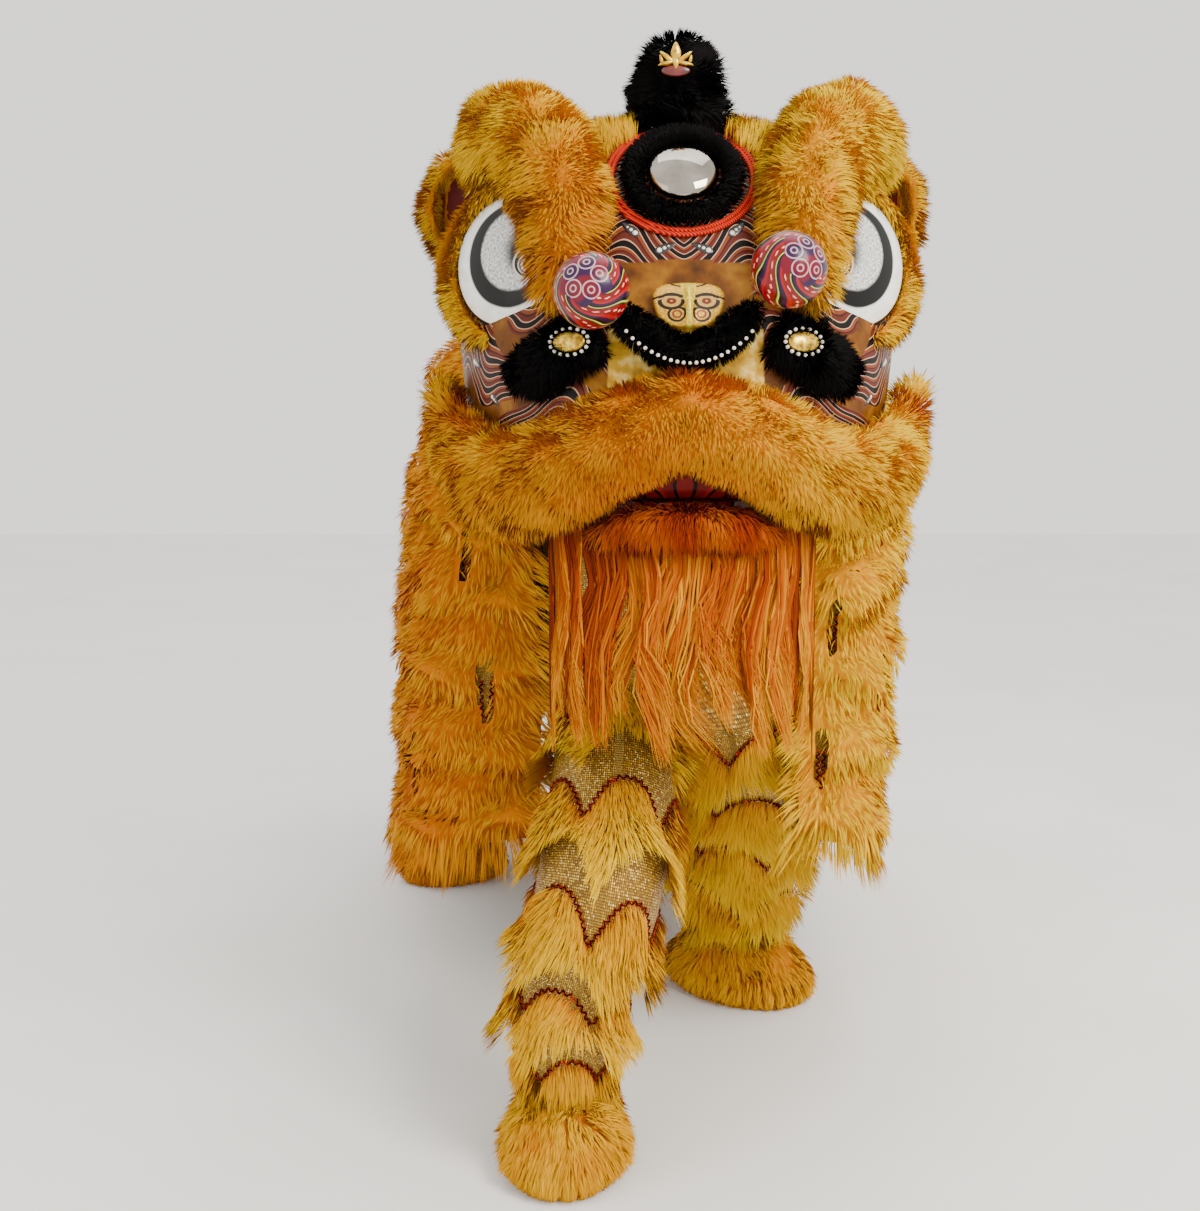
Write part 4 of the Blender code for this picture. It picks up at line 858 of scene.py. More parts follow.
for side, word in ((-1, "right"), (1, "left")):
    half, front, _ = shell_section(EYE_UP * CROWN)
    share = (1 - EYE_ACROSS**SHELL_SQUARENESS) ** (1 / SHELL_SQUARENESS)
    seat = np.array([side * EYE_ACROSS * half, -front * share, EYE_UP * CROWN])
    out = unit(np.array([side * math.sin(EYE_TURN), -math.cos(EYE_TURN), 0.14]))
    right = unit(np.cross(UP, out))
    up = np.cross(out, right)
    turns = np.linspace(0, 2 * math.pi, 65)[:-1]
    reach = np.sin(np.linspace(0, math.pi / 2, 26))
    lift = EYE_BULGE * np.sqrt(1 - reach**2)
    reach = np.append(reach, [1.0, 0.93])
    lift = np.append(lift, [-0.35 * EYE_SOCKET, -EYE_SOCKET])
    a = reach[:, None] * np.cos(turns)
    b = reach[:, None] * np.sin(turns)
    points = seat + EYE_RADIUS * (a[..., None] * right + b[..., None] * up) + lift[:, None, None] * out
    uv = np.stack([a * side * np.where(np.arange(len(reach)) > 25, 1.1, 1)[:, None], b], -1)
    eye = shown(f"eye_dome_{word}", grid_mesh(f"eye_dome_{word}", points, wrap=True, uv=uv), eye_paint)
    wall = eye.modifiers.new("wall", "SOLIDIFY")
    wall.thickness = 0.003
    wall.offset = -1
    apply_modifiers(closed_up(eye))
    belongs(eye, "lion", "white_lacquer", f"eye_{word}")

    def round_eye(roots, outs, seat=seat, out=out, side=side):
        """Fur away from the eye, but over its rim at the outer upper side."""
        away = roots - seat
        away = unit(away - (away @ out)[:, None] * out)
        over = np.clip((away @ unit(np.array([side * 0.8, 0.0, 0.6])) - 0.35) / 0.4, 0, 1)[:, None]
        return outs + out * 0.35 + away * (0.55 - 1.55 * over)

    fur_roll(
        f"eye_fur_{word}", "lion", "yellow_fur", yellow_fur, 12000, 0.025, flat_shade(0.70, 0.06, 0.08),
            round_eye, 61 + side,
        voxel=0.007, inset=0.25, clump=0.3, cell=0.010
    )


# Brows: stuffed rolls of yellow fur over the eyes; the orange along their inner halves is painted shade.
def brow_shade(p):
    """Painted shade: bright on top, deep orange down the inner side, and deeper on the lion's right."""
    inner = np.clip((0.27 - np.abs(p[:, 0])) / 0.10, 0, 1) * np.clip((0.33 - p[:, 2]) / 0.16, 0, 1)
    away = np.clip(-p[:, 0] / 0.25, -1, 1)
    # Painted shade: inner down the inner side, away on the lion's right, away from the key light.
    return 0.80 - (0.30 + 0.10 * away) * inner - 0.04 * away + wander(p, 0.10, 9)[:, 0] * 0.05


for side, word in ((-1, "right"), (1, "left")):
    pile, pad = fur_roll(
        f"brow_{word}", "lion", "yellow_fur", yellow_fur, 21000, 0.028, brow_shade, outward_fur(0.15),
            71 + side,
        droop=0.3, clump=0.25, cell=0.011, inset=0.4, voxel=0.010
    )

# Between each brow and the mirror the brow's fur goes on over the crown.
crown_angle, crown_z = np.meshgrid(np.radians(np.linspace(-168, -12, 90)), np.linspace(0.205,
    0.965 * CROWN, 40), indexing="ij")
crown_points = shell_surface(crown_angle, crown_z)
crown_faces = grid_triangles(90, 40)
crown_out = unit(np.cross(np.gradient(crown_points, axis=0), np.gradient(crown_points, axis=1)))
crown_out = crown_out * np.sign((crown_out * (crown_points - (0, 0, 0.05))).sum(-1, keepdims=True))
roots, outs = scatter(crown_points.reshape(-1, 3), crown_faces, crown_out.reshape(-1, 3), 17000, 75)
outs = unit(outs)
from_mirror = np.linalg.norm(roots - mirror_at, axis=1)
keep = (from_mirror > MIRROR_RADIUS + 2.75 * MIRROR_FUR_ROLL) & (np.abs(roots[:,
    0]) > 0.062) & (np.abs(roots[:, 0]) < 0.22)
keep &= (roots[:, 1] < -0.02) & (roots[:, 2] > 0.225 + 0.3 * (0.13 - np.abs(roots[:, 0])).clip(0, 1))
roots, outs = roots[keep], outs[keep]
draw = np.random.default_rng(76)
ways = unit(outs + np.array([0, 0, 0.25]) + wander(roots, 0.06,
    77) * 0.3 + draw.normal(size=roots.shape) * 0.16)
pile = strands(
    "crown_pile", roots, outs, ways, 0.036 * draw.uniform(0.6, 1.15, len(roots)), 0.0016,
        brow_shade(roots), yellow_fur, 78,
    cell=0.011, clump=0.25, droop=0.1
)
belongs(pile, "lion", "yellow_fur")

# Balls: lacquered red and purple with cream scrolls, lime edges and rows of dots, on posts.
ball_lacquer, tree, shader = material("ball_lacquer", Roughness=0.3, Coat_Weight=0.15,
    Coat_Roughness=0.08, Specular_IOR_Level=0.25)
a, b = add(tree, "ShaderNodeSeparateXYZ", {0: add(tree, "ShaderNodeUVMap").outputs[0]}).outputs[:2]
flat = add(tree, "ShaderNodeCombineXYZ", {0: a, 1: b}).outputs[0]
reach = add(tree, "ShaderNodeVectorMath", {0: flat}, operation="LENGTH").outputs["Value"]
turned = maths(tree, "ARCTAN2", b, a)
# flames that sweep round the ball from its middle: seven arms, each bent by the distance out
arms = maths(tree, "ADD", maths(tree, "MULTIPLY", turned, 7 / (2 * math.pi)), maths(tree, "MULTIPLY",
    reach, 2.1))
arms = maths(tree, "ADD", arms, maths(tree, "MULTIPLY", maths(tree, "SINE", maths(tree, "MULTIPLY",
    reach, 9.0)), 0.16))
arm = maths(tree, "FRACT", arms)
petals = ramp(
    tree,
    arm,
    [(0.0, "#120206"), (0.06, "#C9C45A"), (0.11, "#4E7412"), (0.15, "#120206"), (0.19, "#7A040C"),
        (0.62, "#9C0810"), (0.78, "#240832"), (0.95, "#120206")],
    "CONSTANT",
)
beads = maths(tree, "FRACT", maths(tree, "MULTIPLY", reach, 9.0))
bead_row = maths(tree, "ABSOLUTE", maths(tree, "SUBTRACT", arm, 0.42))
bead = maths(tree, "ADD", maths(tree, "MULTIPLY", maths(tree, "ABSOLUTE", maths(tree, "SUBTRACT", beads,
    0.5)), 0.20), bead_row)
tinted = mix(tree, step(tree, bead, 0.075, 0.060), petals, srgb("#F0A890"))
# cream scrolls on purple round the middle: nested arcs about five centres
heart = mix(tree, step(tree, noise(tree, flat, 2.4, 0.0), 0.45, 0.55), srgb("#2A0A38"), srgb("#6A0820"))
for number in range(5):
    place = (0.30 * math.cos(number * 1.2566 + 0.4), 0.30 * math.sin(number * 1.2566 + 0.4), 0)
    away = add(tree, "ShaderNodeVectorMath", {0: flat, 1: place}, operation="DISTANCE").outputs["Value"]
    for radius in (0.06, 0.16):
        off = maths(tree, "ABSOLUTE", maths(tree, "SUBTRACT", away, radius))
        heart = mix(tree, step(tree, off, 0.018, 0.010), heart, srgb("#B8949A"))
wavy = maths(tree, "ADD", reach, maths(tree, "MULTIPLY", maths(tree, "SINE", maths(tree, "MULTIPLY",
    turned, 5.0)), 0.06))
tinted = mix(tree, step(tree, wavy, 0.53, 0.51), tinted, heart)
colour(tree, shader, tinted)
wood, tree, shader = material("plain_wood", Roughness=0.55)
where = add(tree, "ShaderNodeTexCoord").outputs["Object"]
stretched = add(tree, "ShaderNodeMapping", {0: where, "Scale": (12, 60, 60)}).outputs[0]
grain = noise(tree, stretched, 9.0, 5.0)
colour(tree, shader, ramp(tree, grain, [(0.3, "#6E4A26"), (0.7, "#B98A55")]))
bump(tree, shader, grain, 0.0004)


def repainted(name, body, slot, paint):
    """A node kept as it is, with its own material."""
    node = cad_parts[name]
    node.data.materials.clear()
    node.data.materials.append(paint)
    return node


for side, word in ((-1, "right"), (1, "left")):
    centre = np.array([side * 0.125, -0.455, 0.083 + side * 0.013])
    pole = np.linspace(0, math.pi, 33)[:, None]
    round_it = np.linspace(0, 2 * math.pi, 65)[None, :-1]
    points = np.stack(np.broadcast_arrays(np.sin(pole) * np.cos(round_it),
        np.sin(pole) * np.sin(round_it), np.cos(pole)), -1)
    # the pattern's middle faces up, outwards and ahead; its map is the distance from there over 1.4
    face = unit(np.array([side * 0.30 + 0.12, -0.85, 0.30]))
    across = unit(np.cross(face, UP))
    upward = np.cross(across, face)
    bent = np.arccos(np.clip(points @ face, -1, 1))
    turned = np.arctan2(points @ upward, points @ across)
    uv = np.stack([bent * np.cos(turned), bent * np.sin(turned)], -1) / 1.4
    sphere = shown(f"ball_{word}_lacquered", grid_mesh("ball", centre + 0.049 * points, wrap=True,
        uv=uv), ball_lacquer)
    belongs(closed_up(sphere), "lion", "red_lacquer", f"ball_{word}")
    repainted(f"ball_post_{word}", "lion", "plain_wood", wood)
repainted("jaw_rod", "lion", "plain_wood", wood)

# Ears: fur cups lined with dark red cloth, on wooden pins that turn in the shell.
red_cloth, tree, shader = material("dark_red_cloth", Roughness=0.8, Sheen_Weight=0.4)
where = add(tree, "ShaderNodeTexCoord").outputs["Object"]
weave = add(tree, "ShaderNodeTexWave", {"Vector": where, "Scale": 160.0}, bands_direction="Z").outputs[0]
weft = add(tree, "ShaderNodeTexWave", {"Vector": where, "Scale": 160.0}, bands_direction="X").outputs[0]
woven = maths(tree, "MULTIPLY", weave, weft)
shade = maths(tree, "ADD", maths(tree, "MULTIPLY", woven, 0.3), maths(tree, "MULTIPLY", noise(tree,
    where, 18.0), 0.7))
colour(tree, shader, ramp(tree, shade, [(0.2, "#360605"), (0.5, "#6B0E0A"), (0.8, "#8E1A12")]))
bump(tree, shader, woven, 0.0005)
EAR_HALF_WIDTH, EAR_HALF_DEPTH, EAR_HALF_HEIGHT = 0.060, 0.034, 0.084
for side, word in ((-1, "right"), (1, "left")):
    points, faces, normals = soft_skin(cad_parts[f"ear_{word}"], 0.0045, 0.0, 4)
    shell_half = float(shell_section(EAR_Z)[0])
    centre = np.array([side * (shell_half + 0.95 * EAR_HALF_WIDTH), EAR_Y, EAR_Z])
    local = (points - centre) / (EAR_HALF_WIDTH, EAR_HALF_DEPTH, EAR_HALF_HEIGHT)
    inside = (normals[:, 1] < -0.1) & (np.hypot((local[:, 0] * side + 0.25) / 0.62, (local[:,
        2] - 0.05) / 0.72) < 1)
    pin = np.abs(points[:, 0]) < shell_half + 0.009
    roots, found = scatter(points, faces, np.column_stack([normals, inside, pin]), 9000, 81 + side)
    outs = unit(found[:, :3])
    keep = (found[:, 3] < 0.4) & (found[:, 4] < 0.2) & (np.abs(roots[:, 0]) > shell_half + 0.012)
    roots, outs = roots[keep], outs[keep]
    ways = unit(outs + np.array([side * 0.5, -0.35, -0.1]) + wander(roots, 0.06, 85) * 0.3)
    draw = np.random.default_rng(86 + side)
    pile = strands(
        f"ear_{word}_pile", roots, outs, ways, 0.025 * draw.uniform(0.6, 1.15, len(roots)), 0.0016,
        flat_shade(0.72, 0.05)(roots), yellow_fur, 87, cell=0.011, clump=0.25
    )
    belongs(pile, f"{word}_ear", "yellow_fur")
    lined_cup = skin_piece(f"ear_{word}_cup", points, faces, yellow_fur, 0.5)
    lined_cup.data.materials.append(red_cloth)
    lined_cup.data.materials.append(wood)
    kinds = np.where(pin[faces].all(1), 2, np.where(inside[faces].all(1), 1, 0))
    lined_cup.data.polygons.foreach_set("material_index", kinds.astype(np.int32))
    belongs(lined_cup, f"{word}_ear", "yellow_fur", f"ear_{word}")

# Jaw: a board on the rod, painted dark red with black flames, with a roll of orange fur on its
# lip. The beard hangs from the roll in straight hair, and the tongue behind it is bare cloth.
board_paint, tree, shader = material("painted_board", Roughness=0.4, Coat_Weight=0.3)
where = add(tree, "ShaderNodeTexCoord").outputs["Object"]
x, y, z = add(tree, "ShaderNodeSeparateXYZ", {0: where}).outputs
licks = maths(tree, "ADD", maths(tree, "MULTIPLY", x, 26.0), maths(tree, "MULTIPLY", noise(tree, where,
    18.0, 1.0), 1.8))
colour(
    tree,
    shader,
    ramp(tree, maths(tree, "FRACT", licks), [(0.0, "#140504"), (0.16, "#8A1410"), (0.55, "#B4241A"),
        (0.66, "#140504"), (0.72, "#8A1410")], "CONSTANT"),
)
repainted("jaw_board", "jaw", "red_cloth", board_paint)
repainted("tongue", "jaw", "red_cloth", red_cloth)
fur_roll(
    "jaw_fur", "jaw", "orange_fur", orange_fur, 13000, 0.028, flat_shade(0.45, 0.25, 0.07),
        outward_fur(0.55), 91,
    voxel=0.006, on_shell=False, inset=0.4, droop=0.4, clump=0.35, cell=0.011
)
BEARD_LENGTH, BEARD_HALF, BEARD_LOCKS = 0.29, 0.185, 26
JAW_FRONT = 1.02 * MUZZLE_REACH


def beard_surface(across, down):
    """The beard's round front: x = half sin(a) and y follows cos(a)^1.5, with a = 78 degrees
    times across, from -1 to 1."""
    angle = across * math.radians(78)
    x = BEARD_HALF * np.sin(angle)
    y = -0.31 - (JAW_FRONT + 0.005 - 0.31) * np.cos(angle) ** 1.5
    return np.stack(np.broadcast_arrays(x, y, -RIM_DROP - 0.052 - down), -1)


hair_count, hair_parts = 4500, 7
draw = np.random.default_rng(95)
across = draw.uniform(-1, 1, hair_count)
across = across - 0.35 / BEARD_LOCKS * np.sin(2 * math.pi * across * BEARD_LOCKS / 2)
number = np.floor((across + 1) / 2 * BEARD_LOCKS).astype(int).clip(0, BEARD_LOCKS - 1)
lock_mid = (number + 0.5) / BEARD_LOCKS * 2 - 1
for parting in (-0.33, 0.05):
    across = across + 0.08 * np.tanh((across - parting) / 0.05)
    lock_mid = lock_mid + 0.08 * np.tanh((lock_mid - parting) / 0.05)
lock_draw = np.random.default_rng(96)
lock_swing = lock_draw.uniform(-1, 1, BEARD_LOCKS)[number]
lock_depth = lock_draw.uniform(-0.010, 0.008, BEARD_LOCKS)[number]
lock_long = lock_draw.uniform(0.84, 1.12, BEARD_LOCKS)[number]
long = BEARD_LENGTH * lock_long * draw.uniform(0.68, 1.04, hair_count)
share = np.linspace(0, 1, hair_parts + 1)[None]
gather = np.where(draw.random(hair_count) < 0.7, 0.45, 0.0)[:, None]
path = across[:, None] + (lock_mid - across)[:, None] * gather * share**0.7 * 1.25
path = path + 0.11 * lock_swing[:, None] * np.sin(4.6 * share + number[:, None]) * share
path = path + 0.042 * np.sin(10.5 * share + 2.3 * number[:, None]) * share**0.8
path = path + 0.022 * np.sin(12 * share + draw.uniform(0, 6, hair_count)[:, None]) * share
path = path + 0.055 * np.sin(6.6 * share + 1.6 * across[:, None]) * np.sqrt(share)
beyond = np.abs(path) - 1.0
path = np.where(beyond > 0, np.sign(path) * (1.0 + 0.1 * np.tanh(beyond / 0.1)), path)
line = beard_surface(path, -0.020 + share * (long[:, None] + 0.01))
deep = draw.uniform(-1, 1, hair_count) * 0.006 + lock_depth
line[..., 1] += (deep[:, None] * np.minimum(share * 4, 1)) + 0.012 * share**3 * np.sin(number * 1.7)[:,
    None]
slant = draw.uniform(-0.7, 0.7, hair_count)
wide = np.stack([np.cos(slant), np.sin(slant), np.zeros(hair_count)], -1)[:, None]
taper = (1 - share**4) * 0.9 + 0.1
half = wide * (0.0028 * taper)[..., None] / 2
per = 2 * (hair_parts + 1)
points = np.empty((hair_count, per, 3))
points[:, 0::2], points[:, 1::2] = line - half, line + half
hair_mesh = bpy.data.meshes.new("beard_hair")
quads = np.array([[2 * i, 2 * i + 1, 2 * i + 3, 2 * i + 2] for i in range(hair_parts)]).reshape(-1)
corner = ((np.arange(hair_count) * per)[:, None] + quads[None]).reshape(-1)
hair_mesh.vertices.add(hair_count * per)
hair_mesh.vertices.foreach_set("co", points.reshape(-1).astype(np.float32))
hair_mesh.loops.add(len(corner))
hair_mesh.loops.foreach_set("vertex_index", corner.astype(np.int32))
hair_mesh.polygons.add(hair_count * hair_parts)
hair_mesh.polygons.foreach_set("loop_start", np.arange(0, len(corner), 4, dtype=np.int32))
hair_mesh.polygons.foreach_set("use_smooth", np.ones(hair_count * hair_parts, bool))
hair_mesh.update(calc_edges=True)
hair_shade = np.clip(0.38 + lock_draw.uniform(-0.22, 0.28,
    BEARD_LOCKS)[number] + draw.normal(size=hair_count) * 0.15, 0.02, 0.98)
map_u = np.repeat(hair_shade[:, None], per, 1) + np.repeat(share**3 * 0.3, 2, 1)
map_v = np.repeat(np.broadcast_to(0.35 + 0.65 * share, (hair_count, hair_parts + 1)), 2, 1)
uv = np.stack([np.clip(map_u, 0, 0.99), map_v], -1).reshape(-1, 2)[corner]
hair_mesh.uv_layers.new(name="UVMap").data.foreach_set("uv", uv.reshape(-1).astype(np.float32))
hair_material = fur_material("straight_hair", [(0.0, "#601600"), (0.35, "#863000"), (0.65, "#AE5600"),
    (1.0, "#CE8E08")], "#C87850", 0.6)
belongs(shown("beard_hair", hair_mesh, hair_material), "jaw", "orange_fur", "beard")

# Cape: one sequin cloth over both dancers, under bands of deep yellow fur. Small slits between
# the bands show the gold cloth, edged with a red zigzag braid.
BODY_LENGTH, BODY_HALF, SWING, HEM_HEIGHT, CLOTH = 1.74, 0.385, 0.035, 0.28, 0.003
GROUND = -1.20
# top across, along and up; wide across and along; rise of the hem; sway
CAPE_STATIONS = [
    (0.67, -0.010, -0.655, 0.54, 0.016, 0.48, 0.00),
    (0.90, 0.005, -0.640, 0.80, 0.020, 0.42, -0.02),
    (0.95, 0.045, -0.50, 0.98, 0.060, 0.32, -0.03),
    (0.88, 0.100, -0.02, 1.01, 0.130, 0.20, -0.04),
    (0.50, 0.140, 0.36, 1.01, 0.230, 0.10, -0.05),
    (0.00, 0.149, 0.42, 1.01, 0.340, 0.03, -0.07),
    (0.00, 0.360, -0.02, 1.01, 0.470, 0.03, -0.12),
    (0.00, 0.560, -0.32, 1.01, 0.620, 0.00, -0.20),
    (0.00, 0.730, -0.52, 0.95, 0.770, 0.00, -0.24),
    (0.00, 0.830, -0.66, 0.70, 0.910, 0.05, -0.24),
    (0.00, 0.855, -0.72, 0.00, 0.990, 0.10, -0.24),
]
# share of the way down the cloth, out, down
FALL_ROWS = np.array([(0, 0, 0), (0.14, 0.42, 0.03), (0.30, 0.80, 0.13), (0.44, 0.95, 0.29), (0.60, 1.0,
    0.50), (0.80, 1.0, 0.76), (1, 0.98, 1.0)])
cape_fine = smooth_rows(CAPE_STATIONS, 401)
cape_fine[:, 0] = np.maximum(cape_fine[:, 0], 0)
cape_fine[200:, 0] = 0
fall_shares = np.linspace(0, 1, 101)
fall_fine = [np.interp(fall_shares, FALL_ROWS[:, 0], FALL_ROWS[:, i]) for i in (1, 2)]
for curve in fall_fine:
    for _ in range(30):
        curve[1:-1] = (curve[:-2] + 2 * curve[1:-1] + curve[2:]) / 4


def outside_shell(points, margin):
    """Points inside the shell, moved out to its wall and a margin beyond it."""
    half, front, back = shell_section(points[..., 2])
    deep = np.where(points[..., 1] > 0, back, front)
    power = SHELL_SQUARENESS / 2
    c = np.sign(points[..., 0]) * np.abs(points[..., 0] / half) ** power
    s = np.sign(points[..., 1]) * np.abs(points[..., 1] / deep) ** power
    inside = (c**2 + s**2 < (1 + margin / half) ** SHELL_SQUARENESS) & (points[..., 2] < CROWN)
    angle = np.arctan2(s, c)
    wall = shell_surface(angle, points[..., 2])
    ahead = shell_surface(angle + 0.01, points[..., 2]) - wall
    upward = shell_surface(angle, points[..., 2] + 0.01) - wall
    wall = wall + unit(np.cross(ahead, upward)) * np.asarray(margin)[..., None]
    return np.where(inside[..., None], wall, points)


def cape_surface(s, t):
    """A point of the cape's cloth. s runs from the right front edge at -1 over the back at 0 to
    the left one at 1; t runs from the top to the hem. The cloth goes from its top place to its
    widest place by the fall curve's out, and down to the hem by its down."""
    s, t = np.broadcast_arrays(np.asarray(s, float), np.asarray(t, float))
    place = (1 - np.abs(s)) * 400
    row = [np.interp(place, np.arange(401), cape_fine[:, i]) for i in range(7)]
    side = np.where(s < 0, -1.0, 1.0)
    on_ridge = row[0] <= 0
    top = np.stack([side * row[0] * HEAD_HALF, row[1] * BODY_LENGTH, row[2] * CROWN], -1)
    top[..., 0] = np.where(on_ridge, row[6] * BODY_HALF, top[..., 0])
    top = outside_shell(top, np.where(on_ridge, 0.0004, 4 * CLOTH))
    wide = np.stack([(side * row[3] + row[6]) * BODY_HALF, row[4] * BODY_LENGTH], -1)
    out = np.interp(t, fall_shares, fall_fine[0])
    down = np.interp(t, fall_shares, fall_fine[1])
    xy = top[..., :2] + (wide - top[..., :2]) * out[..., None]
    x = xy[..., 0] - SWING * down * (xy[..., 0] / BODY_HALF) ** 4
    hem = GROUND + HEM_HEIGHT * (1 + row[5])
    z = top[..., 2] + (hem - top[..., 2]) * down
    return np.stack([x, xy[..., 1], z], -1)


def outward(surface, s, t, sign=1.0):
    """Unit directions out of a surface, from its slopes along s and t."""
    e = 0.002
    along = surface(s + e, t) - surface(s - e, t)
    down = surface(s, np.minimum(t + e, 1)) - surface(s, np.maximum(t - e, 0))
    return sign * unit(np.cross(along, down))


sequin, tree, shader = material("gold_sequin_cloth", Metallic=0.4)
flat = add(tree, "ShaderNodeUVMap").outputs[0]
discs = add(tree, "ShaderNodeTexVoronoi", {"Vector": flat, "Scale": 333.0, "Randomness": 0.15})
glint = add(tree, "ShaderNodeSeparateXYZ", {0: discs.outputs["Color"]}).outputs[0]
# Each disc takes a random tone; the few brightest are painted glints, and they are the glossiest too.
base = ramp(tree, glint, [(0.0, "#7C5808"), (0.5, "#B88C14"), (0.86, "#E6BC30"), (1.0, "#FFF2A0")])
rim = step(tree, discs.outputs["Distance"], 0.30, 0.42)
colour(tree, shader, mix(tree, rim, base, srgb("#6A4608")))
colour(tree, shader, add(tree, "ShaderNodeMapRange", {0: glint, 3: 0.55, 4: 0.18}).outputs[0], "Roughness")
bump(tree, shader, discs.outputs["Distance"], 0.0012, 0.8)

CAPE_ARC = 2.2
slit_draw = np.random.default_rng(101)
slits = []
for band in range(1, 6):
    count = 8
    for k in range(count):
        s = -1 + (k + 0.5 * (band % 2) + 0.35) * 2 / count + slit_draw.uniform(-0.02, 0.02)
        t = band / 6 + slit_draw.uniform(-0.03, 0.03)
        slits.append((s, t, slit_draw.uniform(0.010, 0.017), slit_draw.uniform(0.045, 0.080)))
slits = np.array([row for row in slits if abs(row[0]) < 0.985])


def in_slits(s, t, above=0.0):
    """Whether places on the cape are in a slit, or as far above one as the fur reaches."""
    found = np.zeros(np.shape(s), bool)
    for mid_s, mid_t, wide, tall in slits:
        a = (s - mid_s) * CAPE_ARC / wide
        b = (t - mid_t) / tall
        found |= (np.abs(a) < np.sqrt(np.clip(1 - b, 0, 1))) & (b > -0.6 - above / tall) & (b < 1)
    return found


cape_s = np.linspace(-1, 1, 251)[:, None]
cape_t = np.linspace(0, 1, 76)[None]
cape_grid = cape_surface(cape_s, cape_t)
cloth_s, cloth_t = np.linspace(-1, 1, 161)[:, None], np.linspace(0, 1, 61)[None]
cape_uv = np.stack(np.broadcast_arrays(cloth_s * CAPE_ARC, cloth_t * 1.1), -1)
cape_cloth = shown("cape_cloth", grid_mesh("cape_cloth", cape_surface(cloth_s, cloth_t), uv=cape_uv),
    sequin)
wall = cape_cloth.modifiers.new("wall", "SOLIDIFY")
wall.thickness = 0.0025
wall.offset = -1
belongs(cape_cloth, "lion", "yellow_fur", "cape")


def tuft_lift(s, t, points):
    """How far the fur's body stands off the cloth: round tufts, the size of a wandering wave,
    on ruffles that swell towards the lower edge of each band and fold in there."""
    band = t * 6 + 0.25 * np.abs(np.sin(s * CAPE_ARC * 9 + 1.3 * np.floor(t * 6 + 0.5)))
    part = band - np.floor(band)
    ruffle = part**1.4 * (1 - np.clip((part - 0.86) / 0.14, 0, 1) ** 2)
    tufts = np.abs(wander(points, 0.15, 109)[:, 0]) ** 0.7
    return 0.004 + 0.015 * ruffle + 0.024 * np.minimum(tufts, 1.2) * (0.35 + 0.65 * ruffle), part


facing_out = outward(cape_surface, *np.broadcast_arrays(cape_s, cape_t))
probe = facing_out[25, 50]
OUT_SIGN = 1.0 if probe[0] < 0 else -1.0
facing_out = facing_out * OUT_SIGN
flat_s, flat_t = (a.reshape(-1) for a in np.broadcast_arrays(cape_s, cape_t))
lift, part = tuft_lift(flat_s, flat_t, cape_grid.reshape(-1, 3))
closed = ~in_slits(flat_s, flat_t, above=0.03)
lift = np.where(closed, lift, 0.0005)
tufted = cape_grid + facing_out * lift.reshape(251, 76, 1)
tuft_out = unit(np.cross(np.gradient(tufted, axis=0), np.gradient(tufted, axis=1)))
tuft_out = tuft_out * np.sign((tuft_out * facing_out).sum(-1, keepdims=True))
cape_faces = grid_triangles(251, 76)
cape_faces = cape_faces[closed[cape_faces].all(1)]
corners = tufted.reshape(-1, 3)
# Painted shade: deeper on the lion's right, away from the key light, and at the top of each band under the
# shelf of the one above; the plush under the strands 0.1 deeper still. The wander is the fur's own uneven
# tone.
cape_shade = 0.60 + wander(corners, 0.22, 106)[:,
    0] * 0.06 + 0.14 * (part - 0.4) + 0.20 * np.clip(corners[:, 0] / 0.4, -1, 1)
belongs(skin_piece("cape_plush", corners - facing_out.reshape(-1, 3) * 0.003, cape_faces, yellow_fur,
    cape_shade - 0.1), "lion", "yellow_fur")
values = np.column_stack([tuft_out.reshape(-1, 3), flat_s, flat_t, cape_shade])
seen = np.abs(flat_s[cape_faces]).mean(1) > 0.62
roots, found = scatter(corners, np.concatenate([cape_faces, cape_faces[seen]]), values, 78000, 103)
outs, s, t, shade = unit(found[:, :3]), found[:, 3], found[:, 4], found[:, 5]
draw = np.random.default_rng(104)
down_cloth = unit(cape_surface(s, np.minimum(t + 0.01, 1)) - cape_surface(s, np.maximum(t - 0.01, 0)))
edge = np.clip((np.abs(s) - 0.955) / 0.03, 0, 1)
ways = outs * 0.75 + down_cloth * 0.45 + wander(roots, 0.08, 105) * 0.4
ways += np.stack([-np.sign(s) * edge * 1.6, -0.3 * edge, 0 * s], -1)
ways += draw.normal(size=roots.shape) * 0.12
low = np.clip((t - 0.93) / 0.05, 0, 1)
ways[:, 2] -= 0.9 * low
ragged = 0.4 + 0.6 * np.clip(0.5 + wander(roots, 0.07, 108)[:, 1], 0, 1)
lengths = (0.028 + 0.030 * edge + 0.042 * low * ragged) * draw.uniform(0.6, 1.2, len(roots))
for word, chosen in (("right", s < 0), ("left", s >= 0)):
    pile = strands(
        f"cape_pile_{word}", roots[chosen], outs[chosen], ways[chosen], lengths[chosen], 0.0028,
            shade[chosen], yellow_fur, 107,
        cell=0.018, clump=0.45, droop=0.25
    )
    belongs(pile, "lion", "yellow_fur")


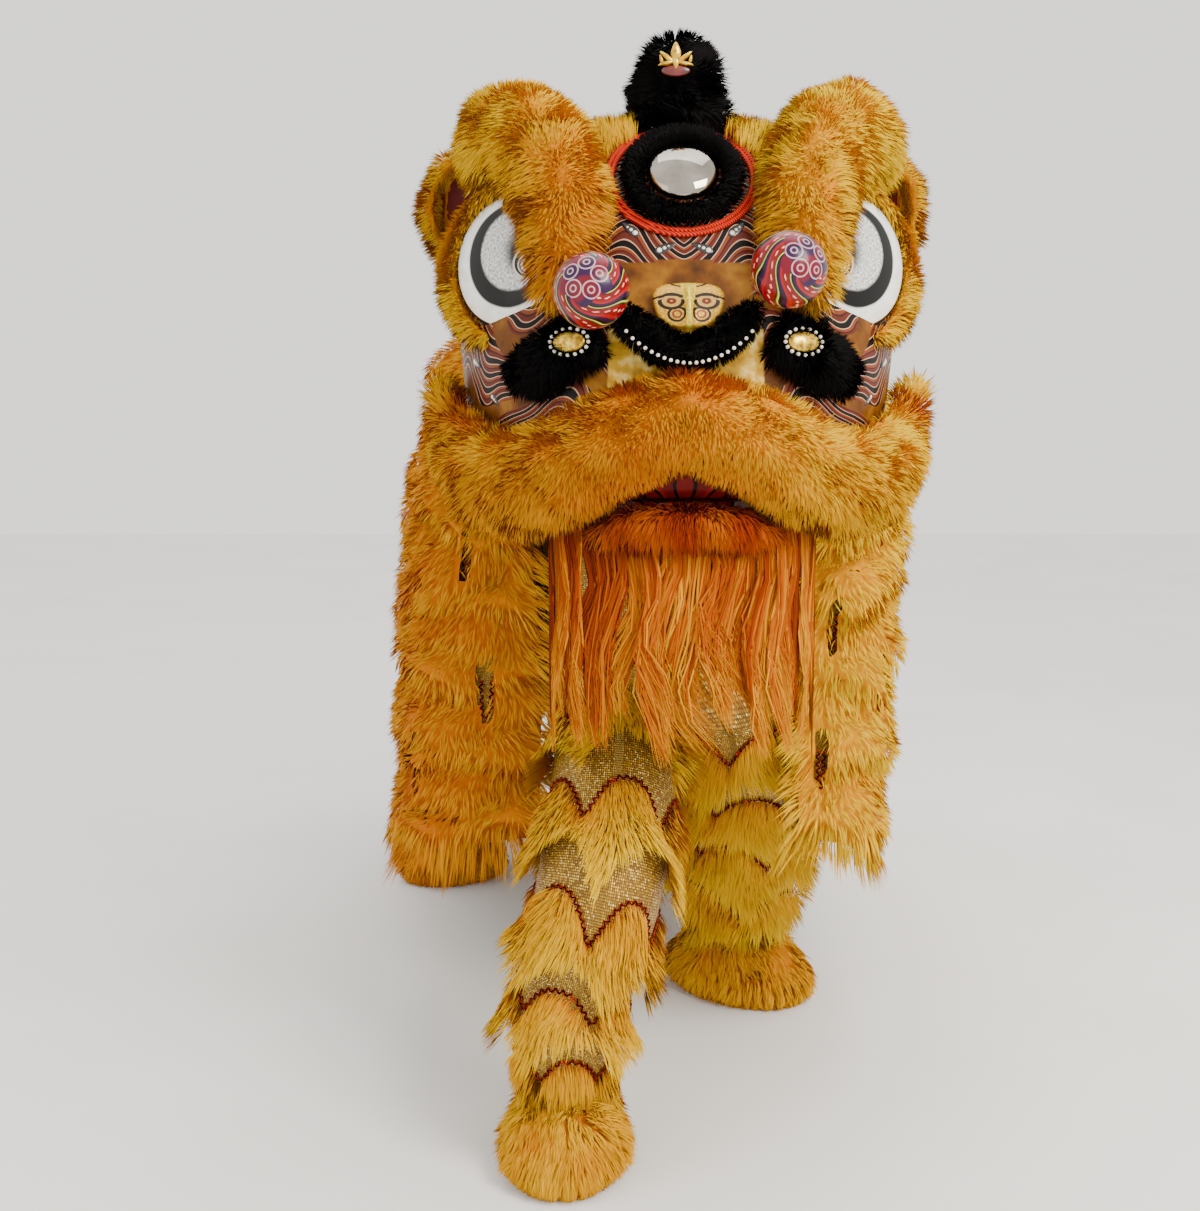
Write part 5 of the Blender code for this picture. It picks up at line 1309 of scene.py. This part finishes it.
def zigzag(surface, s, t, sign, lift=0.002, pitch=0.011, reach=0.004, width=0.0036):
    """A flat zigzag braid along a line of (s, t) places: its middle steps to either side of the
    line in turn, on top of the cloth."""
    fine = surface(s, t)
    way = np.append(0, np.cumsum(np.linalg.norm(np.diff(fine, axis=0), axis=1)))
    count = max(int(way[-1] / pitch * 2), 4)
    at = np.linspace(0, way[-1], count)
    s, t = np.interp(at, way, s), np.interp(at, way, t)
    middle = surface(s, t)
    out = outward(surface, s, t, sign)
    ahead = unit(np.gradient(middle, axis=0))
    beside = unit(np.cross(ahead, out))
    turn = np.where(np.arange(count) % 2, 1.0, -1.0)[:, None]
    middle = middle + beside * turn * reach + out * lift
    along = unit(np.gradient(middle, axis=0) * 0.2 + ahead)
    rows = []
    for a, b in ((-0.5, 0.0), (-0.5, 0.4), (0.5, 0.4), (0.5, 0.0)):
        rows.append(middle + along * a * width + out * b * width)
    return grid_mesh("braid", np.stack(rows, 1), wrap=True)


braids = []
phi = np.linspace(-1, 1, 41)
for mid_s, mid_t, wide, tall in slits:
    s = mid_s + wide * 0.95 / CAPE_ARC * np.sin(phi * math.pi / 2)
    t = mid_t + tall * (np.cos(phi * math.pi / 2) * 1.35 - 0.35)
    braids.append(zigzag(cape_surface, s, np.clip(t, 0, 0.995), OUT_SIGN, lift=0.009))
belongs(joined("cape_zigzags", braids, red_braid), "lion", "yellow_fur")

# Trousers: gold sequin cloth from waist to ankle, with bands of fur whose upper edges rise in
# arches under a red zigzag braid; and a fur cover over each shoe.
WAIST_DROP, CROTCH_DROP, HIP_HALF, LEG_RADIUS = 0.25, 0.50, 0.172, 0.084
FOOT_HALF_LENGTH, FOOT_HALF_WIDTH, FOOT_HEIGHT = 0.112, 0.080, 0.105
ANKLE_DROP = 1.20 - FOOT_HEIGHT - 0.0004
# across, along, drop, radius of each leg's sections
LEGS = {
    "front_right": [
        (-0.088, -0.050, 0.56, 1.10),
        (-0.094, -0.140, 0.67, 1.14),
        (-0.116, -0.215, 0.80, 1.12),
        (-0.150, -0.240, 0.93, 1.04),
        (-0.165, -0.258, 1.02, 0.94),
        (-0.165, -0.262, ANKLE_DROP, 0.523),
    ],
    "front_left": [
        (0.106, 0.090, 0.56, 1.12),
        (0.132, 0.190, 0.68, 1.18),
        (0.148, 0.300, 0.80, 1.22),
        (0.155, 0.390, 0.93, 1.26),
        (0.145, 0.445, 1.02, 1.16),
        (0.142, 0.450, ANKLE_DROP, 0.715),
    ],
    "rear_right": [
        (-0.210, 1.280, 0.56, 1.10),
        (-0.290, 1.200, 0.72, 1.04),
        (-0.360, 1.150, 0.90, 0.92),
        (-0.430, 1.120, 1.02, 0.86),
        (-0.445, 1.115, ANKLE_DROP, 0.523),
    ],
    "rear_left": [
        (0.010, 1.340, 0.56, 1.10),
        (0.070, 1.350, 0.72, 1.04),
        (0.120, 1.390, 0.90, 1.00),
        (0.150, 1.430, 1.02, 0.95),
        (0.152, 1.435, ANKLE_DROP, 0.523),
    ],
}
HIPS = {"front": (0.0, 0.02), "rear": (-0.10, 1.30)}


def leg_surface(rows, side):
    """A leg as a function of (turn, t): turn runs once round the leg from its front over its
    outer side, and t from the crotch to the ankle. Its radius and centre follow the table."""
    table = smooth_rows([(x, y, -drop, radius * LEG_RADIUS) for x, y, drop, radius in rows], 121)
    along = unit(np.gradient(table[:, :3], axis=0))
    ahead = unit(np.cross(along, (1.0, 0, 0)))
    ahead = np.where(ahead[:, 1:2] > 0, -ahead, ahead)
    outer = np.cross(ahead, along)
    outer = outer * np.sign(outer[:, :1] * side)
    packed = np.column_stack([table, ahead, outer])

    def surface(turn, t):
        """centre(t) + radius(t) (cos(angle) ahead + sin(angle) outer), level at the ankle."""
        turn, t = np.broadcast_arrays(np.asarray(turn, float), np.asarray(t, float))
        at = np.clip(t, 0, 1) * 120
        row = [np.interp(at, np.arange(121), packed[:, i]) for i in range(10)]
        centre = np.stack(row[:3], -1)
        a, b = np.stack(row[4:7], -1), np.stack(row[7:10], -1)
        angle = 2 * math.pi * turn
        ring = np.cos(angle)[..., None] * a + np.sin(angle)[..., None] * b
        place = centre + ring * row[3][..., None]
        level = np.clip((t - 0.96) / 0.04, 0, 1)
        place[..., 2] = place[..., 2] * (1 - level) - rows[-1][2] * level
        return place

    return surface


LEG_ARCHES, LEG_FURS = 5, 5


def arch_line(turn, band, lean):
    """The height share of a band's upper edge: arches between cusps that point down."""
    return band / LEG_FURS + 0.085 * (1 - np.abs(np.sin(math.pi * (turn * LEG_ARCHES + lean)))) ** 1.3 + 0.01


for pair, (hip_x, hip_y) in HIPS.items():
    grids = []
    for side, word in ((-1, "right"), (1, "left")):
        surface = leg_surface(LEGS[f"{pair}_{word}"], side)
        turns = np.linspace(0, 1, 49)[:-1]
        hip_rows = []
        for share, swell in ((0.0, 0.90), (0.25, 0.945), (0.5, 0.98), (0.75, 0.995), (1.0, 1.0)):
            angle = math.pi * np.linspace(0, 1, 25)
            x = hip_x + side * HIP_HALF * swell * np.sin(angle)
            y = hip_y - 0.72 * HIP_HALF * swell * np.cos(angle)
            level = -WAIST_DROP - (CROTCH_DROP - WAIST_DROP) * share * 0.72
            hip_rows.append(np.stack([x, y, np.full(25, level)], -1))
        inner = np.linspace(0, 1, 25)[1:-1]
        y = hip_y + 0.72 * HIP_HALF * np.cos(math.pi * inner)
        level = hip_rows[-1][0, 2] - (CROTCH_DROP - WAIST_DROP) * 0.28 * np.sin(math.pi * inner)
        crotch = np.stack([np.full(23, hip_x), y, level], -1)
        upper = np.concatenate([hip_rows[-1], crotch])
        leg_rows = surface(turns[None], np.linspace(0, 1, 61)[:, None])
        blend = [upper + (leg_rows[0] - upper) * (3 * f**2 - 2 * f**3) ** 0.9 for f in (0.0, 0.17, 0.33,
            0.5, 0.67, 0.83)]
        leg_grid = np.concatenate([blend, leg_rows])
        turns_uv, rows_uv = np.meshgrid(np.linspace(0, 0.55, 48), np.linspace(0, 0.75, len(leg_grid)))
        grids.append(grid_mesh("leg", leg_grid, wrap=True, uv=np.stack([turns_uv, rows_uv], -1)))
        turns_uv, rows_uv = np.meshgrid(np.linspace(0, 0.55, 25), np.linspace(0, 0.18, 5))
        grids.append(grid_mesh("hip", np.array(hip_rows), uv=np.stack([turns_uv, rows_uv], -1)))

        # Fur bands and braids of this leg
        heavy = pair == "front"
        count = 12500 if heavy else 4300
        draw = np.random.default_rng(111 + side)
        turn_grid, t_grid = np.meshgrid(np.linspace(0, 1, 97), np.linspace(0, 1, 81), indexing="ij")
        skin = surface(turn_grid, t_grid)
        middle = surface(np.array(0.25), np.array(0.5))
        probe = outward(surface, np.array(0.25), np.array(0.5))
        centre_probe = (surface(np.array(0.25), np.array(0.5)) + surface(np.array(0.75), np.array(0.5))) / 2
        sign = 1.0 if (middle - centre_probe) @ probe > 0 else -1.0
        outs_grid = outward(surface, turn_grid, t_grid, sign)
        faces = grid_triangles(97, 81)
        values = np.column_stack([outs_grid.reshape(-1, 3), turn_grid.reshape(-1), t_grid.reshape(-1)])
        roots, found = scatter(skin.reshape(-1, 3), faces, values, count * 3, 113 + side)
        outs, turn, t = unit(found[:, :3]), found[:, 3], found[:, 4]
        kept = np.zeros(len(roots), bool)
        part = np.zeros(len(roots))
        edges = []
        for band in range(LEG_FURS):
            lean = 0.3 * band + (0.15 if side > 0 else 0.4)
            high = arch_line(turn, band, lean)
            low = arch_line(turn, band + 1, 0.3 * (band + 1) + (0.15 if side > 0 else 0.4)) - 0.095
            if band == LEG_FURS - 1:
                low = np.full_like(low, 0.985)
            here = (t > high) & (t < low)
            kept |= here
            part = np.where(here, (t - high) / np.maximum(low - high, 0.01), part)
            line = np.linspace(0, 1, 201)
            edges.append(zigzag(surface, line, np.clip(arch_line(line, band, lean), 0, 0.99), sign))
        roots, outs, turn, t, part = roots[kept], outs[kept], turn[kept], t[kept], part[kept]
        down_cloth = unit(surface(turn, np.minimum(t + 0.01, 1)) - surface(turn, np.maximum(t - 0.01, 0)))
        roots = roots + outs * (0.016 * part**1.5)[:, None]
        ways = outs * (0.50 + 0.35 * part[:, None]) + down_cloth * 0.65 + wander(roots, 0.10, 115) * 0.45
        ways += draw.normal(size=roots.shape) * 0.12
        lengths = (0.030 + 0.010 * part) * draw.uniform(0.65, 1.2, len(roots))
        # Painted shade: deeper at the top of each band, under the fur of the band above.
        shade = 0.64 + wander(roots, 0.15, 116)[:, 0] * 0.08 + 0.28 * (part - 0.4)
        pile = strands(
            f"{pair}_{word}_leg_pile", roots, outs, ways, lengths, 0.0025, shade, yellow_fur, 117,
                cell=0.014, clump=0.35, droop=0.3
        )
        belongs(pile, "lion", "gold_cloth")
        belongs(joined(f"{pair}_{word}_leg_braids", edges, red_braid), "lion", "gold_cloth")
    bm = bmesh.new()
    for grid in grids:
        bm.from_mesh(grid)
    bmesh.ops.remove_doubles(bm, verts=bm.verts, dist=0.0002)
    bmesh.ops.recalc_face_normals(bm, faces=bm.faces)
    cloth_mesh = bpy.data.meshes.new(f"{pair}_trousers_cloth")
    bm.to_mesh(cloth_mesh)
    bm.free()
    cloth = shown(f"{pair}_trousers_cloth", cloth_mesh, sequin)
    wall = cloth.modifiers.new("wall", "SOLIDIFY")
    wall.thickness = 0.0025
    wall.offset = -1
    belongs(cloth, "lion", "gold_cloth", f"{pair}_trousers")

# height, reach and ahead shares of the foot covers' sections
FOOT_ROWS = [(0.00, 1.00, 0.12), (0.30, 1.05, 0.12), (0.66, 0.92, 0.10), (0.90, 0.74, 0.04), (1.00,
    0.68, 0.00)]
FEET = [("front_right", -4, 1.0), ("front_left", 38, 1.3), ("rear_right", -62, 1.0), ("rear_left", 28, 1.0)]
for place, heading, wide in FEET:
    ankle_x, ankle_y = LEGS[place][-1][:2]
    rows = smooth_rows(FOOT_ROWS, 19)
    angle = np.linspace(0, 2 * math.pi, 41)[None, :-1]
    height, reach, ahead = (rows[:, i][:, None] for i in range(3))
    long = FOOT_HALF_LENGTH + (FOOT_HALF_WIDTH - FOOT_HALF_LENGTH) * height**3
    across = wide * FOOT_HALF_WIDTH * reach * np.sin(angle)
    along = -wide * long * (reach * np.cos(angle) + ahead)
    cos_h, sin_h = math.cos(math.radians(heading)), math.sin(math.radians(heading))
    x = ankle_x + cos_h * across - sin_h * along
    y = ankle_y + sin_h * across + cos_h * along
    z = GROUND + FOOT_HEIGHT * height + 0 * angle
    grid = np.stack([x, y, z], -1)
    uv = np.stack([np.full(x.shape, 0.45), np.full(x.shape, 0.3)], -1)
    cover = closed_up(shown(f"{place}_foot_cover", grid_mesh("cover", grid, wrap=True, uv=uv), yellow_fur))
    wall = cover.modifiers.new("wall", "SOLIDIFY")
    wall.thickness = 0.006
    wall.offset = -1
    apply_modifiers(cover)
    front, word = place.split("_")
    belongs(cover, "lion", "yellow_fur", f"{front}_foot_{word}")
    points = grid.reshape(-1, 3)
    middle = np.array([ankle_x, ankle_y, GROUND + 0.02])
    r, c = np.meshgrid(np.arange(18), np.arange(40), indexing="ij")
    n = (c + 1) % 40
    a, b = (r * 40 + c).reshape(-1), (r * 40 + n).reshape(-1)
    faces = np.concatenate([np.stack([a, b, b + 40], 1), np.stack([a, b + 40, a + 40], 1)])
    normals = unit((points - middle) * (1, 1, 0.7))
    roots, outs = scatter(points, faces, normals, 8500 if front == "front" else 4500, 121)
    outs = unit(outs)
    draw = np.random.default_rng(122)
    ways = unit(outs * 0.8 + np.array([0, 0, -0.55]) + wander(roots, 0.07,
        123) * 0.45 + draw.normal(size=roots.shape) * 0.15)
    lengths = 0.036 * draw.uniform(0.6, 1.2, len(roots)) * np.clip((roots[:, 2] - GROUND) / 0.045, 0.25, 1)
    # The rear right cover is deeper: painted shade on the lion's shaded right at the back.
    shade = (0.35 if place == "rear_right" else 0.56) + wander(roots, 0.08, 124)[:, 0] * 0.12
    pile = strands(f"{place}_foot_pile", roots, outs, ways, lengths, 0.0026, shade, yellow_fur, 125,
        cell=0.018, clump=0.6, droop=0.3)
    belongs(pile, "lion", "yellow_fur")

# Stage: a pale floor, a soft key from the lion's left front, a wide fill, and a camera at the
# height and angle of a standing photographer.
floor_paint, tree, shader = material("pale_floor", Roughness=0.85)
colour(tree, shader, ramp(tree, noise(tree, add(tree, "ShaderNodeTexCoord").outputs["Object"], 2.0),
    [(0.3, "#F2F1EE"), (0.7, "#F8F7F5")]))
floor_points = np.array([[(-9, -6, GROUND - 0.002), (9, -6, GROUND - 0.002)], [(-9, 9, GROUND - 0.002),
    (9, 9, GROUND - 0.002)]], float)
floor = closed_up(shown("floor", grid_mesh("floor", floor_points), floor_paint))
world = bpy.data.worlds.new("studio")
bpy.context.scene.world = world
world.use_nodes = True
room = world.node_tree.nodes["Background"]
room.inputs[0].default_value = srgb("#FFFDF8")
room.inputs[1].default_value = 1.5
for name, place, size, power, code in (
    ("key", (1.9, -2.4, 1.9), 1.6, 165, "#FFF8EC"),
    ("fill", (-2.6, -2.2, 0.6), 2.2, 14, "#FFF8F0"),
    ("top", (0.2, 0.9, 2.8), 2.5, 50, "#FFFFFF"),
):
    light = bpy.data.lights.new(name, "AREA")
    light.size = size
    light.energy = power
    light.color = srgb(code)[:3]
    lamp = bpy.data.objects.new(name, light)
    lamp.location = place
    lamp.rotation_euler = (Vector((0, 0, -0.2)) - Vector(place)).to_track_quat("-Z", "Y").to_euler()
    bpy.context.scene.collection.objects.link(lamp)
CAMERA_PITCH = math.atan(235.5 / 1610)
camera_data = bpy.data.cameras.new("camera")
camera_data.sensor_width = 36
camera_data.lens = 36 * 1610 / 1211
camera = bpy.data.objects.new("camera", camera_data)
camera.location = (-0.114, -2.535, -0.03)
camera.rotation_euler = (math.pi / 2 - CAMERA_PITCH, 0, 0)
bpy.context.scene.collection.objects.link(camera)
bpy.context.scene.camera = camera
